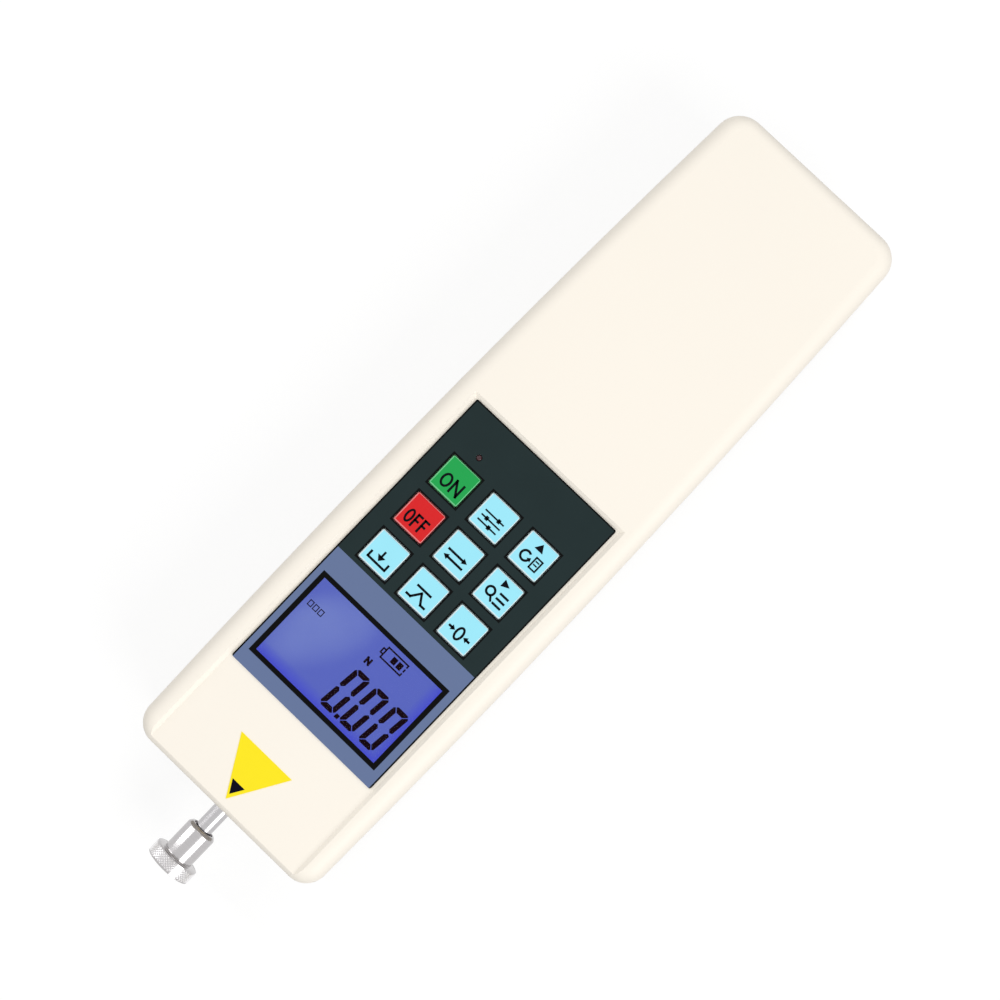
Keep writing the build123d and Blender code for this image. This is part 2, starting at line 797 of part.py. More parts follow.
# Strain gauges bonded to the cell over its two thin places
with BuildPart() as strain_gauges:
    with BuildSketch(Plane.XY.offset(shaft_z + cell_thickness / 2)):
        with Locations((0, cell_middle_y)):
            gauge_pitch = cell_hole_radius * 2 + gauge_width / 2
            with GridLocations(cell_hole_pitch, gauge_pitch, 2, 2):
                Rectangle(gauge_length, gauge_width)
    extrude(amount=gauge_thickness)
save(strain_gauges.part, "strain_gauges")

# Angle bracket that holds the far end of the load cell up from the chassis plate
bracket_height = shaft_z + cell_thickness / 2 - chassis_top
with BuildPart() as cell_bracket:
    with BuildSketch(Plane.YZ.offset(-bracket_width / 2)):
        with Locations((cell_far_y, chassis_top)):
            Rectangle(bracket_wall, bracket_height, align=(Align.MIN, Align.MIN))
            Rectangle(
                bracket_wall + bracket_foot_length,
                bracket_foot_thickness,
                align=(Align.MIN, Align.MIN),
            )
    extrude(amount=bracket_width)
    inner_edge = cell_bracket.edges().filter_by(Axis.X).sort_by_distance(
        (0, bracket_far_y, chassis_top + bracket_foot_thickness)
    )[0]
    fillet(inner_edge, bracket_fillet)
    with BuildSketch(along_y(cell_far_y)):
        Circle(stud_radius + thread_gap)
    extrude(amount=bracket_wall, mode=Mode.SUBTRACT)
    with BuildSketch(Plane.XY.offset(chassis_top)):
        with Locations((0, bracket_far_y + bracket_foot_length / 2)):
            with GridLocations(2 * bracket_screw_x, 0, 2, 1):
                Circle(bracket_screw_shank + thread_gap)
    extrude(amount=bracket_foot_thickness, mode=Mode.SUBTRACT)
save(cell_bracket.part, "cell_bracket")

# Socket-head bolt through the bracket into the load cell
with BuildPart() as cell_bolt:
    with BuildSketch(along_y(bracket_far_y)):
        Circle(bolt_head_radius)
    extrude(amount=bolt_head_height)
    with BuildSketch(along_y(bracket_far_y)):
        Circle(stud_radius)
    extrude(amount=-bracket_wall - bolt_reach)
    with BuildSketch(along_y(bracket_far_y + bolt_head_height)):
        RegularPolygon(bolt_socket_across / 2, 6, major_radius=False)
    extrude(amount=-bolt_head_height / 2, mode=Mode.SUBTRACT)
save(cell_bolt.part, "cell_bolt")

bracket_screw_length = bracket_foot_thickness + chassis_thickness
bracket_screw = pan_screw(
    bracket_screw_shank, bracket_screw_length, bracket_screw_head, bracket_screw_head_height
)
with BuildPart() as bracket_screws:
    for side in (-1, 1):
        screw_y = bracket_far_y + bracket_foot_length / 2
        seat = Location((side * bracket_screw_x, screw_y, chassis_top + bracket_foot_thickness))
        add(seat * bracket_screw)
save(bracket_screws.part, "bracket_screws")

# Force shaft: short thread for the head, ground stem, spanner hexagon and stud for the load cell
shaft_axis = Axis((0, 0, shaft_z), (0, 1, 0))
shoulder_y = nose_y - shoulder_from_nose
thread_end_y = shoulder_y - thread_length
hex_y = nose_y + hex_from_nose
stud_end_y = nose_y + cell_from_nose + cell_tap_depth - bore_spare
with BuildPart() as force_shaft:
    with BuildSketch(Plane.XY.offset(shaft_z)):
        with BuildLine():
            Polyline(
                (0, thread_end_y),
                (thread_radius - thread_chamfer, thread_end_y),
                (thread_radius, thread_end_y + thread_chamfer),
                (thread_radius, shoulder_y),
                (shaft_radius, shoulder_y),
                (shaft_radius, hex_y),
                (stud_radius, hex_y),
                (stud_radius, stud_end_y - thread_chamfer),
                (stud_radius - thread_chamfer, stud_end_y),
                (0, stud_end_y),
                close=True,
            )
        make_face()
    revolve(axis=shaft_axis)
    with BuildSketch(along_y(hex_y)):
        RegularPolygon(hex_across / 2, 6, major_radius=False)
    extrude(amount=hex_length)
save(force_shaft.part, "force_shaft")

with BuildPart() as lock_nut:
    with BuildSketch(along_y(nose_y + cell_from_nose)):
        RegularPolygon(nut_across / 2, 6, major_radius=False)
        Circle(stud_radius + thread_gap, mode=Mode.SUBTRACT)
    extrude(amount=-nut_thickness)
save(lock_nut.part, "lock_nut")

# Flanged bush, clamped between the two covers, in which the shaft slides
with BuildPart() as guide_bush:
    with BuildSketch(along_y(nose_y)):
        Circle(bush_radius)
    extrude(amount=bush_length)
    with BuildSketch(along_y(nose_y + wall)):
        Circle(bush_flange_radius)
    extrude(amount=bush_flange_thickness)
    with BuildSketch(along_y(nose_y)):
        Circle(shaft_radius + shaft_fit)
    extrude(amount=bush_length, mode=Mode.SUBTRACT)
save(guide_bush.part, "guide_bush")

# Flat head: turned neck and knurled disc, screwed on to the shaft's shoulder
mouth_y = shoulder_y + mouth_depth
disc_y = mouth_y - neck_length
face_y = disc_y - disc_thickness
bore_end_y = thread_end_y - bore_spare
with BuildPart() as flat_head:
    with BuildSketch(Plane.XY.offset(shaft_z)):
        with BuildLine():
            Polyline(
                (0, face_y),
                (disc_radius - disc_chamfer, face_y),
                (disc_radius, face_y + disc_chamfer),
                (disc_radius, disc_y - disc_chamfer),
                (disc_radius - disc_chamfer, disc_y),
                (neck_radius, disc_y),
                (neck_radius, mouth_y - neck_chamfer),
                (neck_radius - neck_chamfer, mouth_y),
                (mouth_radius, mouth_y),
                (mouth_radius, shoulder_y),
                (thread_radius + thread_gap, shoulder_y),
                (thread_radius + thread_gap, bore_end_y),
                (0, bore_end_y),
                close=True,
            )
        make_face()
    revolve(axis=shaft_axis)
    with BuildSketch(along_y(face_y)):
        with PolarLocations(disc_radius, knurl_count):
            Rectangle(2 * knurl_depth, 2 * knurl_depth, rotation=45)
    extrude(amount=disc_thickness, mode=Mode.SUBTRACT)
save(flat_head.part, "flat_head")

# Battery pack: six cells in a shrink sleeve, with a foam pad against the front cover
with BuildPart() as battery_cells:
    for layer in (0, 1):
        layer_z = wall + sleeve_thickness + sleeve_gap + battery_cell_radius + layer * battery_cell_pitch
        for column in (-1, 0, 1):
            flip = 1 if (layer + column) % 2 else -1
            body_y = battery_middle_y - flip * battery_length / 2
            spot = Plane(
                origin=(column * battery_cell_pitch, body_y, layer_z),
                x_dir=(-1, 0, 0),
                z_dir=(0, flip, 0),
            )
            with BuildSketch(spot):
                Circle(battery_cell_radius)
            extrude(amount=battery_length - battery_button_height)
            with BuildSketch(spot):
                Circle(battery_button_radius)
            extrude(amount=battery_length)
save(battery_cells.part, "battery_cells")

with BuildPart() as battery_sleeve:
    with BuildSketch(Plane.XZ.offset(-battery_middle_y)):
        with Locations((0, wall + sleeve_height / 2)):
            RectangleRounded(sleeve_width, sleeve_height, battery_cell_radius)
            RectangleRounded(
                sleeve_width - 2 * sleeve_thickness,
                sleeve_height - 2 * sleeve_thickness,
                battery_cell_radius - sleeve_thickness,
                mode=Mode.SUBTRACT,
            )
    extrude(amount=battery_length / 2 - battery_button_height, both=True)
save(battery_sleeve.part, "battery_sleeve")

with BuildPart() as battery_pad:
    with BuildSketch(Plane.XY.offset(wall + sleeve_height)):
        with Locations((0, battery_middle_y)):
            Rectangle(2 * battery_cell_pitch, battery_length * 0.8)
    extrude(amount=front_inside - wall - sleeve_height)
save(battery_pad.part, "battery_pad")

# Socket board on two posts of the rear cover, with its screws and its two sockets
with BuildPart() as socket_board:
    with BuildSketch(Plane.XY.offset(socket_board_bottom)):
        with Locations((0, socket_board_near_y + socket_board_length / 2)):
            RectangleRounded(socket_board_width, socket_board_length, board_corner)
        with Locations((-socket_post_x, socket_post_y), (socket_post_x, socket_post_y)):
            Circle(board_hole_radius, mode=Mode.SUBTRACT)
    extrude(amount=socket_board_thickness)
save(socket_board.part, "socket_board")

with BuildPart() as socket_board_screws:
    for side in (-1, 1):
        seat = Location((side * socket_post_x, socket_post_y, socket_board_top))
        add(seat * small_screw)
save(socket_board_screws.part, "socket_board_screws")

with BuildPart() as charge_socket:
    with BuildSketch(along_y(tail_y - wall)):
        with Locations((-charge_x, 0)):
            Rectangle(charge_body_width, socket_body_height)
    extrude(amount=-charge_body_length)
    with BuildSketch(along_y(tail_y - wall)):
        with Locations((-charge_x, 0)):
            Circle(charge_nose_radius)
    extrude(amount=wall - socket_set_back)
    with BuildSketch(along_y(tail_y - socket_set_back)):
        with Locations((-charge_x, 0)):
            Circle(charge_bore_radius)
            Circle(charge_pin_radius, mode=Mode.SUBTRACT)
    extrude(amount=-socket_well_depth, mode=Mode.SUBTRACT)
save(charge_socket.part, "charge_socket")

with BuildPart() as data_socket:
    with BuildSketch(along_y(tail_y - wall)):
        with Locations((-data_x, 0)):
            Rectangle(data_body_width, socket_body_height)
    extrude(amount=-data_body_length)
    with BuildSketch(along_y(tail_y - wall)):
        with Locations((-data_x, 0)):
            Circle(data_nose_radius)
    extrude(amount=wall - socket_set_back)
    with BuildSketch(along_y(tail_y - socket_set_back)):
        with Locations((-data_x, 0)):
            Circle(data_well_radius)
            Circle(data_core_radius, mode=Mode.SUBTRACT)
            with Locations((0, data_core_radius)):
                Rectangle(data_key_width, 2 * data_key_depth)
            with PolarLocations(data_pin_ring, data_pin_count, start_angle=-60):
                Circle(data_pin_radius)
    extrude(amount=-socket_well_depth, mode=Mode.SUBTRACT)
save(data_socket.part, "data_socket")

# Leads from the load cell, the battery and the socket board to the plug row
plug_row_bottom = board_bottom - plug_row_height
plug_row_far_y = plug_row_y + plug_row_length / 2
lead_entry_z = (plug_row_bottom + board_bottom) / 2
cell_lead_x = cell_width / 2 + lead_spread
cell_lead_y = cell_far_y - lead_end_setback
socket_lead_x = tray_width / 2 + tray_wall + lead_side_gap
socket_lead_y = socket_board_near_y + lead_spread
upper_cell_z = wall + sleeve_thickness + sleeve_gap + battery_cell_radius + battery_cell_pitch
lead_routes = {
    "cell_lead": [
        (cell_width / 2, cell_lead_y, shaft_z),
        (cell_lead_x, cell_lead_y, shaft_z),
        (cell_lead_x, plug_row_y, shaft_z),
        (plug_row_x + lead_spread, plug_row_y, shaft_z),
        (plug_row_x + lead_spread, plug_row_y, plug_row_bottom),
    ],
    "battery_lead": [
        (0, battery_middle_y - battery_length / 2, upper_cell_z),
        (0, tray_near_y - lead_spread, upper_cell_z),
        (plug_row_x - lead_spread, board_far_y + lead_spread, lead_entry_z),
        (plug_row_x - lead_spread, plug_row_far_y, lead_entry_z),
    ],
    "socket_lead": [
        (0, socket_lead_y, socket_board_top),
        (0, socket_lead_y, shaft_z),
        (socket_lead_x, socket_lead_y, shaft_z),
        (socket_lead_x, tray_near_y - lead_spread, shaft_z),
        (plug_row_x + lead_spread, tray_near_y - lead_spread, shaft_z),
        (plug_row_x + lead_spread, board_far_y + lead_spread, shaft_z),
        (plug_row_x + lead_spread, board_far_y - lead_spread, lead_entry_z),
        (plug_row_x + lead_spread, plug_row_far_y, lead_entry_z),
    ],
}
for name, route_points in lead_routes.items():
    with BuildPart() as lead:
        with BuildLine() as route:
            FilletPolyline(*route_points, radius=lead_bend)
        with BuildSketch(Plane(origin=route.line @ 0, z_dir=route.line % 0)):
            Circle(lead_radius)
        sweep()
    save(lead.part, name)

# Pointer sticker on the channel floor, point towards the shaft
with BuildPart() as pointer_sticker:
    with BuildSketch(Plane.XY.offset(channel_floor)):
        with BuildLine():
            sticker_tip_y = nose_y + sticker_from_nose
            Polyline(
                (layout_x, sticker_tip_y),
                (layout_x + sticker_width / 2, sticker_tip_y + sticker_height),
                (layout_x - sticker_width / 2, sticker_tip_y + sticker_height),
                close=True,
            )
        make_face()
    extrude(amount=sticker_thickness)
save(pointer_sticker.part, "pointer_sticker")
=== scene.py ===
import math

import bmesh
import bpy
from mathutils import Matrix, Vector


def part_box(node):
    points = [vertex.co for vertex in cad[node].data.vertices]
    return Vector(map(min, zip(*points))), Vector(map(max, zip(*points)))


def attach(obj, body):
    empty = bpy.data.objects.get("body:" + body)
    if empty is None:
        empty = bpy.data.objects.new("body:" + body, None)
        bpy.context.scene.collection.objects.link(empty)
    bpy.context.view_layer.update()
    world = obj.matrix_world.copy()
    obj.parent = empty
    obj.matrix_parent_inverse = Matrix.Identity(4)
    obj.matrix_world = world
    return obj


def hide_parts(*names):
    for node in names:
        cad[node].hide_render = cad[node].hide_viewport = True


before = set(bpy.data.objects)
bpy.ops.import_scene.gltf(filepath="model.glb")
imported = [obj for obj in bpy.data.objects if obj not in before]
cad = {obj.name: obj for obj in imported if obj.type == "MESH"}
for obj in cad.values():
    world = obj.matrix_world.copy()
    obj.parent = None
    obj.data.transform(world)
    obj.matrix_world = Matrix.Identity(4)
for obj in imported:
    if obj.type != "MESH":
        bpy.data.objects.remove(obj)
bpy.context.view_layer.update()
scene = bpy.context.scene
scene.view_settings.view_transform = "Standard"

# Camera: it stands a little to the right of the gauge, half a metre above it, and looks almost
# straight down. Its place and turn come from the corners of the overlay, the keys and the case.
eye = bpy.data.objects.new("camera", bpy.data.cameras.new("camera"))
scene.collection.objects.link(eye)
scene.camera = eye
eye.data.lens = 68.72
eye.data.sensor_width = 36.0
eye.data.clip_start = 0.01
eye.data.clip_end = 20.0
photo_right = Vector((0.72168, 0.69185, -0.02303))
photo_up = Vector((-0.68957, 0.72142, 0.0636))
sight = Vector((-0.06062, 0.03002, -0.99771))
eye.rotation_mode = "QUATERNION"
eye.rotation_quaternion = Matrix((photo_right, photo_up, -sight)).transposed().to_quaternion()
eye.location = (0.02779, 0.01434, 0.53575)

# Floor: a plain pale table that reads white to the camera and in metal, and still takes the
# gauge's shadow. The world is the same white to the eye, and a softer light to the object.
floor_shade = 0.26
floor_glow = 0.77
floor_size = 4.0
floor_drop = 0.0002
world_light = 0.615


def seen(nodes, links):
    """One where a ray comes from the camera, a mirror or glass, nought where it only lights."""
    path = nodes.new("ShaderNodeLightPath")
    total = path.outputs["Is Camera Ray"]
    for other in ("Is Glossy Ray", "Is Transmission Ray"):
        step = nodes.new("ShaderNodeMath")
        step.operation = "MAXIMUM"
        links.new(total, step.inputs[0])
        links.new(path.outputs[other], step.inputs[1])
        total = step.outputs[0]
    return total


floor_mesh = bpy.data.meshes.new("floor")
floor_build = bmesh.new()
bmesh.ops.create_grid(floor_build, x_segments=4, y_segments=4, size=floor_size)
floor_build.to_mesh(floor_mesh)
floor_build.free()
floor_mesh.transform(Matrix.Translation((0, 0, -floor_drop)))
floor = bpy.data.objects.new("floor", floor_mesh)
scene.collection.objects.link(floor)
floor_paint = bpy.data.materials.new("floor")
floor_paint.use_nodes = True
tree = floor_paint.node_tree
tree.nodes.clear()
table_top = tree.nodes.new("ShaderNodeBsdfDiffuse")
table_top.inputs["Color"].default_value = (floor_shade, floor_shade, floor_shade, 1)
table_glow = tree.nodes.new("ShaderNodeEmission")
glow_level = tree.nodes.new("ShaderNodeMath")
glow_level.operation = "MULTIPLY"
glow_level.inputs[1].default_value = floor_glow
tree.links.new(seen(tree.nodes, tree.links), glow_level.inputs[0])
tree.links.new(glow_level.outputs[0], table_glow.inputs["Strength"])
both = tree.nodes.new("ShaderNodeAddShader")
tree.links.new(table_top.outputs[0], both.inputs[0])
tree.links.new(table_glow.outputs[0], both.inputs[1])
tree.links.new(both.outputs[0], tree.nodes.new("ShaderNodeOutputMaterial").inputs["Surface"])
floor_mesh.materials.append(floor_paint)

world = bpy.data.worlds.new("studio")
scene.world = world
world.use_nodes = True
tree = world.node_tree
sky = tree.nodes["Background"]
sky_level = tree.nodes.new("ShaderNodeMapRange")
sky_level.inputs["To Min"].default_value = world_light
sky_level.inputs["To Max"].default_value = 1.0
tree.links.new(seen(tree.nodes, tree.links), sky_level.inputs["Value"])
tree.links.new(sky_level.outputs[0], sky.inputs["Strength"])
sky.inputs["Color"].default_value = (1, 1, 1, 1)

# Lamps: a large soft box on the right of the gauge, which leaves the left edge a little shaded, a
# weak one over the tail, and a narrow one on the left for the second bright line on the steel.
gauge_middle = Vector((0, 0.02, 0.02))
for name, spot, width, length, power in (
    ("right_box", (1.15, -0.15, 0.95), 0.9, 0.9, 9.5),
    ("tail_box", (-0.2, 1.3, 1.2), 0.8, 0.8, 3.0),
    ("left_strip", (-1.1, -0.1, 0.75), 0.22, 1.0, 3.0),
):
    lamp = bpy.data.objects.new(name, bpy.data.lights.new(name, "AREA"))
    scene.collection.objects.link(lamp)
    lamp.data.shape = "RECTANGLE"
    lamp.data.size = width
    lamp.data.size_y = length
    lamp.data.energy = power
    lamp.location = spot
    lamp.rotation_mode = "QUATERNION"
    lamp.rotation_quaternion = (gauge_middle - Vector(spot)).to_track_quat("-Z", "Y")

# Case: two cream ABS half shells, moulded with a fine spark grain and closed by six screws from
# the rear. Where they meet runs a shallow groove all round, and its shade is painted along it
# as a darker line.
seam_height = 0.018
seam_shade_half = 0.00015


def linear(red, green, blue):
    """Linear colour with alpha of a screen colour in 0 to 255."""
    curved = (
        c / 255 / 12.92 if c < 11 else ((c / 255 + 0.055) / 1.055) ** 2.4
        for c in (red, green, blue)
    )
    return (*curved, 1.0)


def finish(
    name,
    colour,
    rough,
    metallic=0.0,
    mottle=0.03,
    patch=0.012,
    grain=0.0003,
    depth=0.00001,
    stretch=(1, 1, 1),
    swing=0.05,
    specular=0.5,
):
    """Material with a fine grain, a slight change of tone and a roughness that varies with it.
    Patch and grain are the sizes in metres of the tone's patches and of the bumps, and stretch
    squeezes both along an axis, as brushing or turning does."""
    material = bpy.data.materials.new(name)
    material.use_nodes = True
    nodes, links = material.node_tree.nodes, material.node_tree.links
    shader = nodes["Principled BSDF"]
    shader.inputs["Metallic"].default_value = metallic
    shader.inputs["Specular IOR Level"].default_value = specular
    place = nodes.new("ShaderNodeTexCoord")
    spread = nodes.new("ShaderNodeMapping")
    spread.inputs["Scale"].default_value = stretch
    links.new(place.outputs["Object"], spread.inputs["Vector"])
    patches = nodes.new("ShaderNodeTexNoise")
    patches.inputs["Scale"].default_value = 1 / patch
    patches.inputs["Detail"].default_value = 4.0
    links.new(spread.outputs[0], patches.inputs["Vector"])
    tone = nodes.new("ShaderNodeMix")
    tone.name = "tone"
    tone.data_type = "RGBA"
    tone.inputs["A"].default_value = (*(c * (1 - mottle) for c in colour[:3]), 1)
    tone.inputs["B"].default_value = (*(min(c * (1 + mottle), 1.0) for c in colour[:3]), 1)
    links.new(patches.outputs["Fac"], tone.inputs["Factor"])
    links.new(tone.outputs["Result"], shader.inputs["Base Color"])
    bumps = nodes.new("ShaderNodeTexNoise")
    bumps.inputs["Scale"].default_value = 1 / grain
    bumps.inputs["Detail"].default_value = 2.0
    links.new(spread.outputs[0], bumps.inputs["Vector"])
    relief = nodes.new("ShaderNodeBump")
    relief.name = "relief"
    relief.inputs["Strength"].default_value = 1.0
    relief.inputs["Distance"].default_value = depth
    links.new(bumps.outputs["Fac"], relief.inputs["Height"])
    links.new(relief.outputs[0], shader.inputs["Normal"])
    sheen_range = nodes.new("ShaderNodeMapRange")
    sheen_range.inputs["To Min"].default_value = rough - swing
    sheen_range.inputs["To Max"].default_value = rough + swing
    links.new(bumps.outputs["Fac"], sheen_range.inputs["Value"])
    links.new(sheen_range.outputs[0], shader.inputs["Roughness"])
    return material


def reckon(material, operation, first, second=None):
    """One arithmetic step of a material's pattern. Each value is a number or another step."""
    step = material.node_tree.nodes.new("ShaderNodeMath")
    step.operation = operation
    for socket, value in zip(step.inputs, (first, second)):
        if value is None:
            continue
        if isinstance(value, (int, float)):
            socket.default_value = value
        else:
            material.node_tree.links.new(value, socket)
    return step.outputs[0]


def axes_of(material):
    """The x, y and z of the point that is shaded, in metres in the gauge's own frame."""
    nodes = material.node_tree.nodes
    place = nodes.new("ShaderNodeTexCoord")
    apart = nodes.new("ShaderNodeSeparateXYZ")
    material.node_tree.links.new(place.outputs["Object"], apart.inputs[0])
    return apart.outputs[0], apart.outputs[1], apart.outputs[2]


def print_over(material, share, colour):
    """Lays a second colour over the material where share is one."""
    nodes, links = material.node_tree.nodes, material.node_tree.links
    shader = nodes["Principled BSDF"]
    under = shader.inputs["Base Color"].links[0].from_socket
    ink = nodes.new("ShaderNodeMix")
    ink.data_type = "RGBA"
    links.new(share, ink.inputs["Factor"])
    links.new(under, ink.inputs["A"])
    ink.inputs["B"].default_value = colour
    links.new(ink.outputs["Result"], shader.inputs["Base Color"])


def dress(material, *names):
    """Gives CAD pieces their material."""
    for name in names:
        cad[name].data.materials.clear()
        cad[name].data.materials.append(material)


cream = finish(
    "case_plastic", linear(252, 245, 233), 0.46, mottle=0.012, patch=0.05, grain=0.0004,
    depth=0.000008, specular=0.35,
)
_, _, height = axes_of(cream)
from_seam = reckon(cream, "ABSOLUTE", reckon(cream, "SUBTRACT", height, seam_height))
# Painted shade: a darker line along the seam groove, standing in for the shade inside it.
print_over(cream, reckon(cream, "LESS_THAN", from_seam, seam_shade_half), linear(178, 164, 148))
dress(cream, "front_cover", "rear_cover")

# Overlay: a sheet of satin polyester printed from behind, dark green-grey round the keys and
# blue-grey round the display, with a black line round every key and along its own edge.
millimetre = 0.001
key_pitch = (14.3 * millimetre, 13.4 * millimetre)
key_middle = (-0.35 * millimetre, 11.4 * millimetre)
field_edge = -8.8 * millimetre
key_hole_half = 5.15 * millimetre
key_line = 0.45 * millimetre
edge_line = 0.45 * millimetre
pad_half = 1.5
overlay_low, overlay_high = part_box("front_overlay")

overlay = finish(
    "overlay_print", linear(34, 47, 48), 0.42, mottle=0.1, patch=0.01, grain=0.00025,
    depth=0.000003, specular=0.08,
)
across, along, _ = axes_of(overlay)
print_over(overlay, reckon(overlay, "LESS_THAN", along, field_edge), linear(103, 119, 156))


def from_key(material, value, middle, pitch):
    """Distance along one axis from the middle of the nearest key. Eight pitches are added, so that
    the remainder is taken of a positive number."""
    start = reckon(material, "SUBTRACT", value, middle - pitch / 2)
    within = reckon(material, "MODULO", reckon(material, "ADD", start, 8 * pitch), pitch)
    return reckon(material, "ABSOLUTE", reckon(material, "SUBTRACT", within, pitch / 2))


from_key_edge = reckon(
    overlay,
    "MAXIMUM",
    from_key(overlay, across, key_middle[0], key_pitch[0]),
    from_key(overlay, along, key_middle[1], key_pitch[1]),
)
by_key = reckon(overlay, "LESS_THAN", from_key_edge, key_hole_half + key_line)
in_pad = reckon(
    overlay,
    "MULTIPLY",
    *(
        reckon(
            overlay,
            "LESS_THAN",
            reckon(overlay, "ABSOLUTE", reckon(overlay, "SUBTRACT", value, middle)),
            pad_half * pitch,
        )
        for value, middle, pitch in zip((across, along), key_middle, key_pitch)
    ),
)
print_over(overlay, reckon(overlay, "MULTIPLY", by_key, in_pad), linear(3, 4, 5))
near_side = reckon(
    overlay,
    "MINIMUM",
    reckon(overlay, "SUBTRACT", across, overlay_low.x),
    reckon(overlay, "SUBTRACT", overlay_high.x, across),
)
near_end = reckon(overlay, "SUBTRACT", overlay_high.y, along)
near_edge = reckon(overlay, "MINIMUM", near_side, near_end)
print_over(overlay, reckon(overlay, "LESS_THAN", near_edge, edge_line), linear(4, 6, 6))
dress(overlay, "front_overlay")

# Keys: nine square caps of satin plastic, green for on, red for off and light blue for the rest.
# A paler rim is painted along their edges as a highlight, wider at the left and below.
key_half = 4.85 * millimetre
highlight_rim_width = 0.36 * millimetre
thin_highlight_rim = 0.18 * millimetre
key_places = {
    "key_store": (-1, -1), "key_peak": (0, -1), "key_zero": (1, -1),
    "key_off": (-1, 0), "key_unit": (0, 0), "key_right": (1, 0),
    "key_on": (-1, 1), "key_set": (0, 1), "key_up": (1, 1),
}
key_spots = {
    name: (key_middle[0] + column * key_pitch[0], key_middle[1] + row * key_pitch[1])
    for name, (column, row) in key_places.items()
}
# Each key's colour, then the paler colour of its painted highlight rim.
key_colours = {
    "key_on": ((16, 162, 74), (120, 214, 150)),
    "key_off": ((216, 22, 26), (246, 140, 140)),
}
for name, (middle_x, middle_y) in key_spots.items():
    colour, rim = key_colours.get(name, ((158, 233, 250), (232, 251, 255)))
    cap = finish(
        name, linear(*colour), 0.36, mottle=0.02, patch=0.006, grain=0.00035, depth=0.000003,
        specular=0.3,
    )
    across, along, _ = axes_of(cap)
    from_left = reckon(cap, "SUBTRACT", across, middle_x - key_half)
    from_bottom = reckon(cap, "SUBTRACT", along, middle_y - key_half)
    from_right = reckon(cap, "SUBTRACT", middle_x + key_half, across)
    from_top = reckon(cap, "SUBTRACT", middle_y + key_half, along)
    # Painted highlight: a paler rim along the cap's edges, wider at the left and below.
    wide_highlight_rim = reckon(cap, "LESS_THAN", reckon(cap, "MINIMUM", from_left, from_bottom), highlight_rim_width)
    narrow_highlight_rim = reckon(cap, "LESS_THAN", reckon(cap, "MINIMUM", from_right, from_top), thin_highlight_rim)
    print_over(cap, reckon(cap, "MAXIMUM", wide_highlight_rim, narrow_highlight_rim), linear(*rim))
    dress(cap, name)

# Legends on the keys: thin printed marks in black ink, ON and OFF and plain signs: sliders, two
# arrows, a tray, a peak, a nought, and a turn and a lens, each beside a box or a list.
print_height = 0.012


def plates(name, outlines, low, material, body):
    """Closed thin plates over flat outlines, all in millimetres, as one piece on a body."""
    build = bmesh.new()
    high = (low + print_height) / 1000
    for outline in outlines:
        under = [build.verts.new((x / 1000, y / 1000, low / 1000)) for x, y in outline]
        over = [build.verts.new((x / 1000, y / 1000, high)) for x, y in outline]
        build.faces.new(over)
        build.faces.new(under[::-1])
        for i in range(len(outline)):
            j = (i + 1) % len(outline)
            build.faces.new((under[i], under[j], over[j], over[i]))
    bmesh.ops.recalc_face_normals(build, faces=build.faces)
    mesh = bpy.data.meshes.new(name)
    build.to_mesh(mesh)
    build.free()
    mesh.materials.append(material)
    piece = bpy.data.objects.new(name, mesh)
    scene.collection.objects.link(piece)
    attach(piece, body)


def bar(start, end, width):
    """Four corners of a straight stroke."""
    (x0, y0), (x1, y1) = start, end
    length = math.hypot(x1 - x0, y1 - y0)
    dx, dy = (x1 - x0) / length * width / 2, (y1 - y0) / length * width / 2
    return [(x0 + dy, y0 - dx), (x1 + dy, y1 - dx), (x1 - dy, y1 + dx), (x0 - dy, y0 + dx)]


def bars(points, width):
    """Strokes through a row of points, each lengthened by half its width to close the corners."""
    found = []
    for (x0, y0), (x1, y1) in zip(points, points[1:]):
        length = math.hypot(x1 - x0, y1 - y0)
        ex, ey = (x1 - x0) / length * width / 2, (y1 - y0) / length * width / 2
        found.append(bar((x0 - ex, y0 - ey), (x1 + ex, y1 + ey), width))
    return found


def arc(middle, radius_x, radius_y, width, first, last, steps=20):
    """Short plates round an oval arc, between two angles in degrees."""
    found = []
    for i in range(steps):
        a, b = (math.radians(first + (last - first) * k / steps) for k in (i, i + 1))
        found.append(
            [
                (middle[0] + (radius_x + s) * math.cos(t), middle[1] + (radius_y + s) * math.sin(t))
                for t, s in ((a, -width / 2), (a, width / 2), (b, width / 2), (b, -width / 2))
            ]
        )
    return found


def moved(outlines, x, y):
    """The same outlines elsewhere."""
    return [[(x + px, y + py) for px, py in outline] for outline in outlines]


